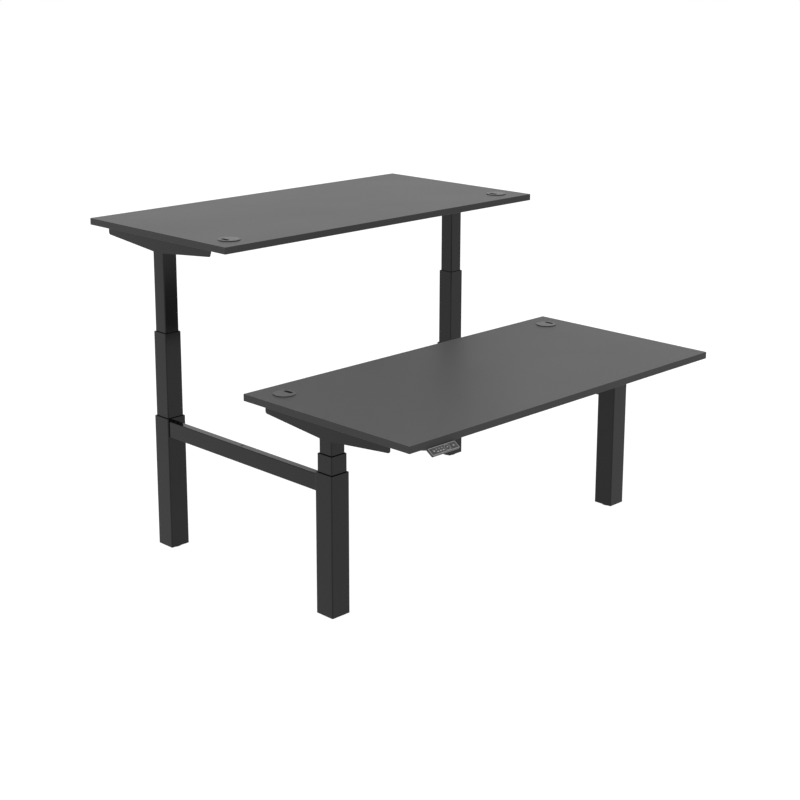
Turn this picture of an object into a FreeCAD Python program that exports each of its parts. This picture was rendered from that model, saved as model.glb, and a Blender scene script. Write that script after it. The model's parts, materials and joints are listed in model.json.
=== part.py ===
import FreeCAD, Part
import math
import os
import Sketcher

from FreeCAD import Placement, Rotation, Vector

# Back-to-back pair of height adjustable desks on one shared frame, in millimetres.
# +Z is up and +X runs along the desktops. The origin is on the floor, at the centre of the pair.
# The front desk is on the -Y side. The rear desk is the same desk turned half a turn about Z.

doc = FreeCAD.newDocument("standing_desk")
sheet = doc.addObject("Spreadsheet::Sheet", "Sizes")

SIZES = [
    ("top_length", 1600, "desktop, along X"),
    ("top_depth", 800, "desktop, along Y"),
    ("top_thick", 25, "desktop thickness"),
    ("top_gap", 80, "clear gap between the two desktops"),
    ("top_corner", 3, "radius of a desktop's upright corners"),
    ("top_edge", 1, "rounding of a desktop's long edges"),
    ("front_height", 700, "front desktop's upper face, as stored"),
    ("rear_height", 1200, "rear desktop's upper face, as stored"),
    ("lowest_height", 620, "desktop's upper face, fully lowered"),
    ("highest_height", 1270, "desktop's upper face, fully raised"),
    ("stage_share", 0.51, "middle stage's share of the desktop's travel"),
    ("column_inset", 44, "column centre from the desktop's end"),
    ("outer_width", 80, "outer tube, across flats"),
    ("stage_gap", 3, "clear gap between a tube and the next one inside it"),
    ("tube_wall", 2, "wall of the three tubes"),
    ("tube_corner", 4, "outside corner radius of the three tubes"),
    ("outer_length", 500, "outer tube"),
    ("middle_length", 510, "middle tube"),
    ("inner_length", 500, "inner tube"),
    ("weld_gap", 0.1, "gap round a plate that is let into a tube"),
    ("glide_gap", 0.3, "clearance between a glide and the tube that slides on it"),
    ("rim_recess", 3, "collar's top below its tube's rim"),
    ("collar_height", 40, "collar inside a tube's top"),
    ("sleeve_height", 50, "sleeve round a tube's foot"),
    ("foot_height", 8, "outer tube's lower end above the floor"),
    ("foot_width", 58, "levelling foot's disc, diameter"),
    ("foot_chamfer", 1.5, "chamfer of the foot's disc"),
    ("foot_gap", 0.5, "foot's disc below the tube"),
    ("stem_width", 10, "levelling foot's stem, diameter"),
    ("stem_height", 18, "stem above the tube's lower end"),
    ("screw_play", 0.05, "radial clearance of a screw in its nut or threaded hole"),
    ("plate_thick", 6, "base plate and column head plate"),
    ("stack_gap", 8, "middle stage above the base plate, fully lowered"),
    ("post_wall", 3, "base post's wall"),
    ("post_clear", 1, "radial clearance of the hollow screw in the post"),
    ("post_gap", 5, "hollow screw's flange above the post, fully lowered"),
    ("nut_height", 30, "base nut at the post's top"),
    ("hollow_wall", 4.5, "hollow screw's wall"),
    ("end_gap", 4, "end clearance of the screws"),
    ("flange_thick", 6, "hollow screw's flange"),
    ("nut_tube_wall", 3, "nut tube's wall"),
    ("nut_tube_clear", 3, "radial clearance of the base post in the nut tube"),
    ("nut_head", 24, "nut tube's head, which is the drive nut"),
    ("nut_foot", 8, "nut tube's square foot"),
    ("drive_width", 15, "drive screw, diameter"),
    ("drive_clear", 1, "radial clearance of the drive screw in the hollow screw"),
    ("journal_width", 12, "drive screw's journal in the motor"),
    ("journal_length", 20, "drive screw's journal in the motor"),
    ("journal_gap", 0.5, "end gaps of the drive screw at the motor"),
    ("motor_clear", 3, "radial clearance of the motor in the inner tube"),
    ("motor_length", 110, "motor, with its flange"),
    ("motor_flange", 6, "motor's square flange"),
    ("arm_length", 600, "support arm, along Y"),
    ("arm_end_depth", 25, "support arm's depth at its ends"),
    ("arm_root_depth", 51, "support arm's depth at the column"),
    ("arm_wall", 2.5, "support arm's folded sheet"),
    ("arm_corner", 9, "rounding of the arm's lower end corners"),
    ("arm_tab", 70, "end of the arm where only its outer side comes down, along Y"),
    ("saddle_length", 60, "plate in the arm that sits on the column head, along Y"),
    ("saddle_thick", 5, "plate in the arm that sits on the column head"),
    ("rail_width", 40, "rail between the arms, along Y"),
    ("rail_depth", 20, "rail between the arms, along Z"),
    ("rail_wall", 2, "rail's wall"),
    ("rail_spacing", 260, "between the two rails' centres"),
    ("beam_width", 30, "crossbeam, along X"),
    ("beam_height", 60, "crossbeam, along Z"),
    ("beam_wall", 2, "crossbeam's wall"),
    ("beam_corner", 3, "crossbeam's outside corner radius"),
    ("beam_inset", 5, "crossbeam's outer face behind the column's outer face"),
    ("beam_drop", 9, "crossbeam's top below the outer tube's top"),
    ("beam_slot_length", 15, "slot in the crossbeam's top, along X"),
    ("beam_slot_width", 5, "slot in the crossbeam's top, along Y"),
    ("spigot_length", 60, "spigot on the outer tube that enters the crossbeam"),
    ("spigot_wall", 4, "spigot's cheeks"),
    ("spigot_gap", 0.4, "clearance of the spigot in the crossbeam"),
    ("bolt_width", 6, "column head bolts and crossbeam screws, diameter"),
    ("bolt_head_width", 11, "their heads, diameter"),
    ("bolt_head_height", 4, "their heads"),
    ("bolt_play", 0.6, "clearance hole over a bolt, on the diameter"),
    ("bolt_spacing", 36, "between the head bolts, each way"),
    ("beam_screw_spacing", 30, "between the two crossbeam screws of one end, along Z"),
    ("beam_screw_inset", 40, "crossbeam screw from the crossbeam's end"),
    ("wood_width", 4, "wood screw, diameter"),
    ("wood_head_width", 9, "wood screw's head, diameter"),
    ("wood_head_height", 2.5, "wood screw's head"),
    ("wood_play", 1, "clearance hole over a wood screw, on the diameter"),
    ("wood_bite", 16, "wood screw's length in the desktop"),
    ("arm_screw_near", 110, "arm screw from the column's centre, the near pair"),
    ("arm_screw_far", 250, "arm screw from the column's centre, the far pair"),
    ("box_length", 260, "control box, along X"),
    ("box_width", 110, "control box, along Y"),
    ("box_depth", 36, "control box, along Z"),
    ("box_corner", 6, "control box, upright corner radius"),
    ("box_offset", 250, "control box's centre from the desktop's middle"),
    ("ear_length", 20, "ears of the control box and of the handset"),
    ("ear_width", 24, "ears of the control box and of the handset"),
    ("ear_thick", 3, "ears of the control box and of the handset"),
    ("socket_width", 14, "sockets in the control box's end"),
    ("socket_height", 12, "sockets in the control box's end"),
    ("socket_depth", 10, "sockets in the control box's end"),
    ("socket_pitch", 24, "between the sockets' centres"),
    ("handset_length", 124, "handset, along X"),
    ("handset_offset", 662, "handset's centre from the desktop's middle"),
    ("handset_tilt", 34, "handset's face, degrees below level"),
    ("handset_face", 30, "handset's face, down its slope"),
    ("handset_thick", 7.5, "handset's panel, square to its face"),
    ("handset_proud", 3, "face's upper edge in front of the desktop's edge"),
    ("handset_reach", 63, "face's upper edge to the back of the handset"),
    ("handset_back", 20, "handset's depth at its back"),
    ("handset_corner", 3, "rounding of the handset's lip corners"),
    ("key_width", 15, "square key"),
    ("key_corner", 2.5, "square key's corner radius"),
    ("key_round", 17, "round key, diameter"),
    ("key_gap", 0.4, "gap round a key"),
    ("key_height", 3.2, "key, along its stroke"),
    ("key_proud", 0.7, "key above the face"),
    ("key_well", 3.6, "depth of a key's well"),
    ("key_spread", 44, "square key's centre from the handset's centre"),
    ("key_store_offset", 16, "round key's centre from the handset's centre"),
    ("grommet_hole", 70, "hole in the desktop for a grommet"),
    ("grommet_inset", 100, "grommet's centre from the end and from the inner edge"),
    ("ring_rim", 5, "rim of the grommet ring beyond its hole"),
    ("ring_rise", 3.5, "grommet ring above the desktop"),
    ("ring_fit", 0.3, "radial gap of the ring's barrel in the desktop"),
    ("ring_wall", 2, "ring's barrel"),
    ("ring_depth", 22, "ring's barrel below the desktop's upper face"),
    ("ring_floor", 1, "ring's ledge above the desktop"),
    ("ring_lip", 3.8, "width of the rim round the lid"),
    ("lid_gap", 0.3, "clearance of the lid in its ring"),
    ("lid_skirt", 8, "lid's skirt below the desktop's upper face"),
    ("lid_skirt_wall", 2.4, "lid's skirt"),
    ("slot_length", 40, "cable slot in the lid"),
    ("slot_width", 16, "cable slot in the lid"),
    ("slot_offset", 19, "cable slot's centre from the lid's centre"),
]


class Size:
    """A length that carries its spreadsheet expression and its present value."""

    def __init__(self, text, value):
        self.text = text
        self.value = float(value)

    def __add__(self, other):
        other = as_size(other)
        return Size(f"({self.text} + {other.text})", self.value + other.value)

    def __sub__(self, other):
        other = as_size(other)
        return Size(f"({self.text} - {other.text})", self.value - other.value)

    def __mul__(self, other):
        other = as_size(other)
        return Size(f"({self.text} * {other.text})", self.value * other.value)

    def __truediv__(self, other):
        other = as_size(other)
        return Size(f"({self.text} / {other.text})", self.value / other.value)

    def __radd__(self, other):
        return as_size(other) + self

    def __rsub__(self, other):
        return as_size(other) - self

    def __rmul__(self, other):
        return as_size(other) * self

    def __neg__(self):
        return as_size(0) - self


def as_size(number):
    """A plain number as a Size; a Size is returned as it is."""
    return number if isinstance(number, Size) else Size(repr(float(number)), number)


def sine(angle):
    return Size(f"sin({angle.text})", math.sin(math.radians(angle.value)))


def cosine(angle):
    return Size(f"cos({angle.text})", math.cos(math.radians(angle.value)))


class Sheet:
    """The spreadsheet's cells, each readable by its alias as a Size."""


s = Sheet()
for row, (alias, number, note) in enumerate(SIZES, start=1):
    sheet.set(f"A{row}", alias)
    sheet.set(f"B{row}", str(number))
    sheet.set(f"C{row}", note)
    sheet.setAlias(f"B{row}", alias)
    setattr(s, alias, Size(f"Sizes.{alias}", number))
doc.recompute()

# Places worked out from the driving sizes.
column_x = s.top_length / 2 - s.column_inset
column_y = (s.top_gap + s.top_depth) / 2
outer_clear = s.outer_width - 2 * s.tube_wall
middle_width = outer_clear - 2 * s.stage_gap
middle_clear = middle_width - 2 * s.tube_wall
inner_width = middle_clear - 2 * s.stage_gap
inner_clear = inner_width - 2 * s.tube_wall
inside_corner = s.tube_corner - s.tube_wall
plate_top = s.foot_height + s.plate_thick
beam_x = column_x + s.outer_width / 2 - s.beam_inset - s.beam_width / 2
beam_mid = s.foot_height + s.outer_length - s.beam_drop - s.beam_height / 2
beam_length = 2 * column_y - s.outer_width
head_top = -s.top_thick - s.arm_root_depth
motor_foot = head_top - s.plate_thick - s.motor_length
motor_width = inner_clear - 2 * s.motor_clear
bolt_hole = s.bolt_width + s.bolt_play
wood_hole = s.wood_width + s.wood_play
ring_width = s.grommet_hole + 2 * s.ring_rim

# A turn is the desk's half turn about Z, in degrees: 0 for the front desk, 180 for the rear desk.
DESKS = {"front": (0, s.front_height), "rear": (180, s.rear_height)}
SIDES = {"left": -1, "right": 1}


def world_side(turn, side):
    """The name of the side that a desk's own left or right is on, seen from the front."""
    if turn == 0:
        return side
    return "right" if side == "left" else "left"


def middle_foot(desk_height):
    """Height of a middle tube's lower end for a desktop height."""
    return plate_top + s.stack_gap + (desk_height - s.lowest_height) * s.stage_share


# The screws' sections, from the drive screw outwards, and their lengths with the desk fully lowered.
hollow_bore = s.drive_width + 2 * s.drive_clear
hollow_width = hollow_bore + 2 * s.hollow_wall
post_bore = hollow_width + 2 * s.post_clear
post_width = post_bore + 2 * s.post_wall
nut_tube_bore = post_width + 2 * s.nut_tube_clear
nut_tube_width = nut_tube_bore + 2 * s.nut_tube_wall
flange_width = nut_tube_bore - 2 * s.nut_tube_clear
lowest_foot = middle_foot(s.lowest_height)
nut_tube_height = s.lowest_height + motor_foot - s.stack_gap - lowest_foot
flange_top = nut_tube_height - s.nut_head - s.glide_gap
flange_foot = flange_top - s.flange_thick
post_height = lowest_foot + flange_foot - s.post_gap - plate_top
stem_top = s.foot_height + s.stem_height
hollow_length = lowest_foot + flange_foot - stem_top - s.end_gap
upper_stroke = (s.highest_height - s.lowest_height) * (1 - s.stage_share)
drive_length = upper_stroke + s.stack_gap + s.nut_head + s.end_gap


# ---- building blocks -------------------------------------------------------------------------

def bind(target, path, size):
    """Tie a property to the spreadsheet."""
    target.setExpression(path, as_size(size).text)


def place(target, x, y, z, turn=0, tilt=0):
    """Put an object at (x, y, z) in a desk's own frame, tilted about X, then turned about Z."""
    sign = 1 if turn == 0 else -1
    rotation = Rotation(Vector(0, 0, 1), turn) * Rotation(Vector(1, 0, 0), tilt)
    target.Placement = Placement(Vector(0, 0, 0), rotation)
    bind(target, "Placement.Base.x", sign * as_size(x))
    bind(target, "Placement.Base.y", sign * as_size(y))
    bind(target, "Placement.Base.z", z)
    return target


def new_body(name):
    return doc.addObject("PartDesign::Body", name)


def new_sketch(body, role, height=None):
    """A sketch on one of the body's own origin planes, raised by height along the plane's normal."""
    sketch = body.newObject("Sketcher::SketchObject", f"{body.Name}_sketch")
    plane = next(item for item in body.Origin.OriginFeatures if item.Role == role)
    sketch.AttachmentSupport = [(plane, "")]
    sketch.MapMode = "FlatFace"
    if height is not None:
        bind(sketch, "AttachmentOffset.Base.z", height)
    return sketch


def pin_point(sketch, shape, point, axis, size):
    """Hold one coordinate of a point: on the axis when it is zero, else at its distance."""
    size = as_size(size)
    kind, line = ("DistanceX", -2) if axis == "x" else ("DistanceY", -1)
    if size.value == 0:
        sketch.addConstraint(Sketcher.Constraint("PointOnObject", shape, point, line))
        return
    index = sketch.addConstraint(Sketcher.Constraint(kind, -1, 1, shape, point, size.value))
    bind(sketch, f"Constraints[{index}]", size)


def draw_polygon(sketch, points):
    """A closed outline through points, each a pair of sizes."""
    points = [(as_size(x), as_size(y)) for x, y in points]
    corners = [Vector(x.value, y.value, 0) for x, y in points]
    first = sketch.GeometryCount
    count = len(corners)
    for i in range(count):
        sketch.addGeometry(Part.LineSegment(corners[i], corners[(i + 1) % count]), False)
    for i in range(count):
        joint = (first + i, 2, first + (i + 1) % count, 1)
        sketch.addConstraint(Sketcher.Constraint("Coincident", *joint))
    for i, (x, y) in enumerate(points):
        pin_point(sketch, first + i, 1, "x", x)
        pin_point(sketch, first + i, 1, "y", y)


def draw_rectangle(sketch, width, depth, x=0, y=0):
    """A rectangle centred on (x, y)."""
    x, y = as_size(x), as_size(y)
    west, east = x - width / 2, x + width / 2
    south, north = y - depth / 2, y + depth / 2
    draw_polygon(sketch, [(west, south), (east, south), (east, north), (west, north)])


def draw_circle(sketch, diameter, x=0, y=0):
    """A circle centred on (x, y)."""
    x, y, radius = as_size(x), as_size(y), as_size(diameter) / 2
    centre = Vector(x.value, y.value, 0)
    shape = sketch.addGeometry(Part.Circle(centre, Vector(0, 0, 1), radius.value), False)
    pin_point(sketch, shape, 3, "x", x)
    pin_point(sketch, shape, 3, "y", y)
    index = sketch.addConstraint(Sketcher.Constraint("Radius", shape, radius.value))
    bind(sketch, f"Constraints[{index}]", radius)


def draw_obround(sketch, length, width, x, y):
    """A slot with round ends, long along the sketch's second axis, centred on (x, y)."""
    x, y, radius = as_size(x), as_size(y), as_size(width) / 2
    half = (length - width) / 2
    east, west = (x + radius).value, (x - radius).value
    south, north = (y - half).value, (y + half).value
    first = sketch.GeometryCount
    ends = [Vector(x.value, north, 0), Vector(x.value, south, 0)]
    circles = [Part.Circle(centre, Vector(0, 0, 1), radius.value) for centre in ends]
    sketch.addGeometry(Part.LineSegment(Vector(east, south, 0), Vector(east, north, 0)), False)
    sketch.addGeometry(Part.ArcOfCircle(circles[0], 0, math.pi), False)
    sketch.addGeometry(Part.LineSegment(Vector(west, north, 0), Vector(west, south, 0)), False)
    sketch.addGeometry(Part.ArcOfCircle(circles[1], math.pi, 2 * math.pi), False)
    for i in range(4):
        sketch.addConstraint(Sketcher.Constraint("Tangent", first + i, 2, first + (i + 1) % 4, 1))
    for arc, centre_y in ((first + 1, y + half), (first + 3, y - half)):
        pin_point(sketch, arc, 3, "x", x)
        pin_point(sketch, arc, 3, "y", centre_y)
    index = sketch.addConstraint(Sketcher.Constraint("Radius", first + 1, radius.value))
    bind(sketch, f"Constraints[{index}]", radius)
    sketch.addConstraint(Sketcher.Constraint("Equal", first + 1, first + 3))


def pad(body, sketch, length, symmetric=False):
    """Raise a sketch into a solid, along its normal or evenly to both sides."""
    feature = body.newObject("PartDesign::Pad", f"{body.Name}_pad")
    feature.Profile = sketch
    bind(feature, "Length", length)
    if symmetric:
        feature.SideType = "Symmetric"
    doc.recompute()
    return feature


def pocket(body, sketch, length, symmetric=False, along_normal=True):
    """Cut a sketch out of the body, and make sure that material really went."""
    before = body.Shape.Volume
    feature = body.newObject("PartDesign::Pocket", f"{body.Name}_pocket")
    feature.Profile = sketch
    bind(feature, "Length", length)
    if symmetric:
        feature.SideType = "Symmetric"
    else:
        feature.Reversed = along_normal
    doc.recompute()
    if body.Shape.Volume >= before - 1e-6:
        raise RuntimeError(f"{body.Name}: a pocket removed nothing")
    return feature


def turn_profile(body, points):
    """A solid of revolution about Z from an outline of (radius, height) pairs."""
    sketch = new_sketch(body, "XZ_Plane")
    draw_polygon(sketch, points)
    feature = body.newObject("PartDesign::Revolution", f"{body.Name}_turn")
    feature.Profile = sketch
    feature.ReferenceAxis = (sketch, ["V_Axis"])
    feature.Angle = 360
    doc.recompute()
    return feature


def fillet(body, base, radius, wanted):
    """Round those edges of a feature that the test wanted(edge) picks."""
    names = [f"Edge{i}" for i, edge in enumerate(base.Shape.Edges, start=1) if wanted(edge)]
    feature = body.newObject("PartDesign::Fillet", f"{body.Name}_fillet")
    feature.Base = (base, names)
    bind(feature, "Radius", radius)
    doc.recompute()
    return feature


def edge_test(direction, inside=None):
    """A test for straight edges along a direction, at most inside from the body's Z axis."""
    def wanted(edge):
        if edge.Curve.TypeId != "Part::GeomLine":
            return False
        along = abs(edge.tangentAt(edge.FirstParameter).dot(direction)) > 0.999
        if not along or inside is None:
            return along
        middle = edge.CenterOfMass
        return max(abs(middle.x), abs(middle.y)) < inside
    return wanted


UPRIGHT = Vector(0, 0, 1)


def square_tube(name, width, clear, length, corner, clear_corner=None):
    """An upright square tube, its lower end at the body's origin plane."""
    body = new_body(name)
    outline = new_sketch(body, "XY_Plane")
    draw_rectangle(outline, width, width)
    solid = pad(body, outline, length)
    fillet(body, solid, corner, edge_test(UPRIGHT))
    bore = new_sketch(body, "XY_Plane")
    draw_rectangle(bore, clear, clear)
    hollow = pocket(body, bore, length)
    if clear_corner is not None:
        reach = as_size(clear).value / 2 + 0.01
        fillet(body, hollow, clear_corner, edge_test(UPRIGHT, reach))
    return body


def group(name, members):
    """Several separate solids in one node."""
    compound = doc.addObject("Part::Compound", name)
    compound.Links = members
    doc.recompute()
    return compound


def box(name, length, width, depth, x, y, z, turn=0):
    """A box centred on x and y that stands on z, in a desk's own frame."""
    block = doc.addObject("Part::Box", name)
    bind(block, "Length", length)
    bind(block, "Width", width)
    bind(block, "Height", depth)
    corner_x = as_size(x) - as_size(length) / 2
    corner_y = as_size(y) - as_size(width) / 2
    return place(block, corner_x, corner_y, z, turn)


def cylinder(name, diameter, height, x, y, z, turn=0):
    """An upright cylinder that stands on z, in a desk's own frame."""
    rod = doc.addObject("Part::Cylinder", name)
    bind(rod, "Radius", as_size(diameter) / 2)
    bind(rod, "Height", height)
    return place(rod, x, y, z, turn)


def cut(name, base, tools):
    """Base with every tool cut out of it, in order."""
    for i, tool in enumerate(tools):
        result = doc.addObject("Part::Cut", name if i == len(tools) - 1 else f"{name}_cut")
        result.Base = base
        result.Tool = tool
        base = result
    doc.recompute()
    return base


def fuse(name, members):
    """Members joined into one solid."""
    joined = doc.addObject("Part::MultiFuse", name)
    joined.Shapes = members
    joined.Refine = True
    doc.recompute()
    return joined


PARTS = {}


def keep(label, target):
    """Give a finished sub-part its label, which names its file."""
    target.Label = label
    PARTS[label] = target
    return target



# ---- columns ---------------------------------------------------------------------------------

def outer_tube(name, side):
    """A leg: square tube with the spigot that the crossbeam slips over, at the desk's inner side."""
    body = square_tube(name, s.outer_width, outer_clear, s.outer_length, s.tube_corner, inside_corner)
    width = s.beam_width - 2 * s.beam_wall - 2 * s.spigot_gap
    height = s.beam_height - 2 * s.beam_wall - 2 * s.spigot_gap
    low = s.outer_length - s.beam_drop - s.beam_height / 2 - height / 2
    middle = side * (beam_x - column_x)
    west, east = middle - width / 2, middle + width / 2
    root = s.outer_width / 2 - s.tube_wall / 2
    web = s.outer_width / 2 + s.spigot_wall
    tip = s.outer_width / 2 + s.spigot_length
    cheek_west, cheek_east = west + s.spigot_wall, east - s.spigot_wall
    sketch = new_sketch(body, "XY_Plane", low)
    draw_polygon(sketch, [
        (west, root), (east, root), (east, tip), (cheek_east, tip),
        (cheek_east, web), (cheek_west, web), (cheek_west, tip), (west, tip),
    ])
    pad(body, sketch, height)
    holes = new_sketch(body, "YZ_Plane")
    hole_y = s.outer_width / 2 + s.beam_screw_inset
    hole_z = s.outer_length - s.beam_drop - s.beam_height / 2
    for way in (-1, 1):
        width = s.bolt_width + 2 * s.screw_play
        draw_circle(holes, width, hole_y, hole_z + way * s.beam_screw_spacing / 2)
    pocket(body, holes, s.outer_width, along_normal=side > 0, symmetric=True)
    return body


def base_post(name, turn, x, y):
    """The plate that closes a leg's foot, with the post and nut that hold the hollow screw."""
    body = new_body(name)
    width = outer_clear - 2 * s.weld_gap
    sketch = new_sketch(body, "XY_Plane")
    draw_rectangle(sketch, width, width)
    plate = pad(body, sketch, s.plate_thick)
    fillet(body, plate, inside_corner, edge_test(UPRIGHT))
    post_top = s.plate_thick + post_height
    nut_bore = hollow_width / 2 + s.screw_play
    under = s.plate_thick / 2
    turn_profile(body, [
        (post_bore / 2, under), (post_width / 2, under), (post_width / 2, post_top),
        (nut_bore, post_top), (nut_bore, post_top - s.nut_height),
        (post_bore / 2, post_top - s.nut_height),
    ])
    hole = new_sketch(body, "XY_Plane")
    draw_circle(hole, s.stem_width + 2 * s.screw_play)
    pocket(body, hole, s.plate_thick)
    return place(body, x, y, s.foot_height, turn)


def levelling_foot(name, turn, x, y):
    """A round disc on a threaded stem."""
    body = new_body(name)
    edge, top = s.foot_width / 2, s.foot_height - s.foot_gap
    turn_profile(body, [
        (0, 0), (edge - s.foot_chamfer, 0), (edge, s.foot_chamfer), (edge, top - s.foot_chamfer),
        (edge - s.foot_chamfer, top), (s.stem_width / 2, top),
        (s.stem_width / 2, stem_top), (0, stem_top),
    ])
    return place(body, x, y, 0, turn)


def collar(name, tube_width, sliding_width, tube_top, turn, x, y):
    """A glide collar just inside a tube's rim."""
    outside = tube_width - 2 * s.tube_wall - 2 * s.weld_gap
    inside = sliding_width + 2 * s.glide_gap
    ring = square_tube(name, outside, inside, s.collar_height, inside_corner)
    return place(ring, x, y, tube_top - s.rim_recess - s.collar_height, turn)


def sleeve(name, tube_width, guiding_width, tube_foot, turn, x, y):
    """A glide sleeve round a tube's foot."""
    outside = guiding_width - 2 * s.tube_wall - 2 * s.glide_gap
    ring = square_tube(name, outside, tube_width, s.sleeve_height, inside_corner, s.tube_corner)
    return place(ring, x, y, tube_foot, turn)


def nut_tube(name, turn, x, y, foot):
    """The tube that stands in a middle tube, with the drive screw's nut as its head."""
    body = new_body(name)
    width = middle_clear - 2 * s.weld_gap
    sketch = new_sketch(body, "XY_Plane")
    draw_rectangle(sketch, width, width)
    plate = pad(body, sketch, s.nut_foot)
    fillet(body, plate, inside_corner, edge_test(UPRIGHT))
    bore = new_sketch(body, "XY_Plane")
    draw_circle(bore, nut_tube_bore)
    pocket(body, bore, s.nut_foot)
    head = nut_tube_height - s.nut_head
    nut_bore = s.drive_width / 2 + s.screw_play
    turn_profile(body, [
        (nut_tube_bore / 2, s.nut_foot / 2), (nut_tube_width / 2, s.nut_foot / 2),
        (nut_tube_width / 2, nut_tube_height), (nut_bore, nut_tube_height),
        (nut_bore, head), (nut_tube_bore / 2, head),
    ])
    return place(body, x, y, foot, turn)


def hollow_screw(name, turn, x, y, foot):
    """The lower screw: its flange turns under the nut tube's head, its end in the base nut."""
    body = new_body(name)
    low = flange_foot - hollow_length
    turn_profile(body, [
        (hollow_bore / 2, low), (hollow_width / 2, low), (hollow_width / 2, flange_foot),
        (flange_width / 2, flange_foot), (flange_width / 2, flange_top),
        (hollow_bore / 2, flange_top),
    ])
    return place(body, x, y, foot, turn)


def drive_screw(name, turn, x, y, desk_height):
    """The upper screw, held in the motor by its journal."""
    body = new_body(name)
    turn_profile(body, [
        (0, -s.journal_gap - drive_length), (s.drive_width / 2, -s.journal_gap - drive_length),
        (s.drive_width / 2, -s.journal_gap), (s.journal_width / 2, -s.journal_gap),
        (s.journal_width / 2, s.journal_length - s.journal_gap), (0, s.journal_length - s.journal_gap),
    ])
    return place(body, x, y, desk_height + motor_foot, turn)


def motor(name, turn, x, y, desk_height):
    """The geared tube motor under the column head, with its square flange."""
    body = new_body(name)
    bore = s.journal_width / 2 + s.screw_play
    turn_profile(body, [
        (0, s.journal_length), (bore, s.journal_length), (bore, 0), (motor_width / 2, 0),
        (motor_width / 2, s.motor_length - s.weld_gap), (0, s.motor_length - s.weld_gap),
    ])
    width = inner_clear - 2 * s.weld_gap
    sketch = new_sketch(body, "XY_Plane", s.motor_length - s.weld_gap - s.motor_flange)
    draw_rectangle(sketch, width, width)
    flange = pad(body, sketch, s.motor_flange)
    fillet(body, flange, inside_corner, edge_test(UPRIGHT, width.value))
    return place(body, x, y, desk_height + motor_foot, turn)


def inner_tube(name, turn, x, y, desk_height):
    """The top tube of a column, closed by a head plate with four threaded holes."""
    body = square_tube(
        name, inner_width, inner_clear, s.inner_length, s.tube_corner, inside_corner)
    plate = new_sketch(body, "XY_Plane", s.inner_length - s.plate_thick)
    width = inner_clear + s.tube_wall
    draw_rectangle(plate, width, width)
    pad(body, plate, s.plate_thick)
    holes = new_sketch(body, "XY_Plane", s.inner_length - s.plate_thick)
    draw_bolt_square(holes, s.bolt_width + 2 * s.screw_play)
    pocket(body, holes, s.plate_thick)
    return place(body, x, y, desk_height + head_top - s.inner_length, turn)


def draw_bolt_square(sketch, diameter, x=0, y=0):
    """The four holes of a column head."""
    half = s.bolt_spacing / 2
    for across in (-1, 1):
        for along in (-1, 1):
            draw_circle(sketch, diameter, x + across * half, y + along * half)


base_posts, feet, outer_collars = [], [], []
for desk, (turn, height) in DESKS.items():
    tubes, glides, nuts, motors, inner_tubes, sleeves = [], [], [], [], [], []
    foot = middle_foot(height)
    for side_name, side in SIDES.items():
        where = f"{desk}_{world_side(turn, side_name)}"
        x, y = side * column_x, -column_y
        leg = outer_tube(f"leg_{where}", side)
        keep(f"outer_tube_{where}", place(leg, x, y, s.foot_height, turn))
        base_posts.append(base_post(f"post_{where}", turn, x, y))
        feet.append(levelling_foot(f"foot_{where}", turn, x, y))
        leg_top = s.foot_height + s.outer_length
        rim = collar(f"leg_collar_{where}", s.outer_width, middle_width, leg_top, turn, x, y)
        outer_collars.append(rim)

        tube = square_tube(
            f"stage_{where}", middle_width, middle_clear, s.middle_length, s.tube_corner,
            inside_corner)
        keep(f"middle_tube_{where}", place(tube, x, y, foot, turn))
        stage_top = foot + s.middle_length
        glides += [
            collar(f"stage_collar_{where}", middle_width, inner_width, stage_top, turn, x, y),
            sleeve(f"stage_sleeve_{where}", middle_width, s.outer_width, foot, turn, x, y),
        ]
        nuts.append(nut_tube(f"nut_{where}", turn, x, y, foot))
        keep(f"hollow_screw_{where}", hollow_screw(f"lower_{where}", turn, x, y, foot))

        keep(f"drive_screw_{where}", drive_screw(f"upper_{where}", turn, x, y, height))
        motors.append(motor(f"motor_{where}", turn, x, y, height))
        inner_tubes.append(inner_tube(f"top_{where}", turn, x, y, height))
        inner_foot = height + head_top - s.inner_length
        sleeves.append(
            sleeve(f"top_sleeve_{where}", inner_width, middle_width, inner_foot, turn, x, y))
    keep(f"{desk}_middle_glides", group(f"{desk}_stage_glides", glides))
    keep(f"{desk}_nut_tubes", group(f"{desk}_nuts", nuts))
    keep(f"{desk}_motors", group(f"{desk}_drives", motors))
    keep(f"{desk}_inner_tubes", group(f"{desk}_tops", inner_tubes))
    keep(f"{desk}_inner_glides", group(f"{desk}_top_sleeves", sleeves))
keep("base_posts", group("posts", base_posts))
keep("levelling_feet", group("feet", feet))
keep("outer_glides", group("leg_collars", outer_collars))


# ---- crossbeams ------------------------------------------------------------------------------

def crossbeam(name, turn):
    """The left end's crossbeam, between the front and the rear leg; turned, it is the right one."""
    body = new_body(name)
    outline = new_sketch(body, "XZ_Plane")
    draw_rectangle(outline, s.beam_width, s.beam_height)
    solid = pad(body, outline, beam_length, symmetric=True)
    fillet(body, solid, s.beam_corner, edge_test(Vector(0, 1, 0)))
    bore = new_sketch(body, "XZ_Plane")
    draw_rectangle(bore, s.beam_width - 2 * s.beam_wall, s.beam_height - 2 * s.beam_wall)
    pocket(body, bore, beam_length, symmetric=True)
    slot = new_sketch(body, "XY_Plane")
    draw_rectangle(slot, s.beam_slot_length, s.beam_slot_width)
    pocket(body, slot, s.beam_height)
    holes = new_sketch(body, "YZ_Plane")
    for end in (-1, 1):
        along = end * (beam_length / 2 - s.beam_screw_inset)
        for way in (-1, 1):
            draw_circle(holes, bolt_hole, along, way * s.beam_screw_spacing / 2)
    pocket(body, holes, s.beam_width)
    return place(body, -beam_x, 0, beam_mid, turn)


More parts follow.
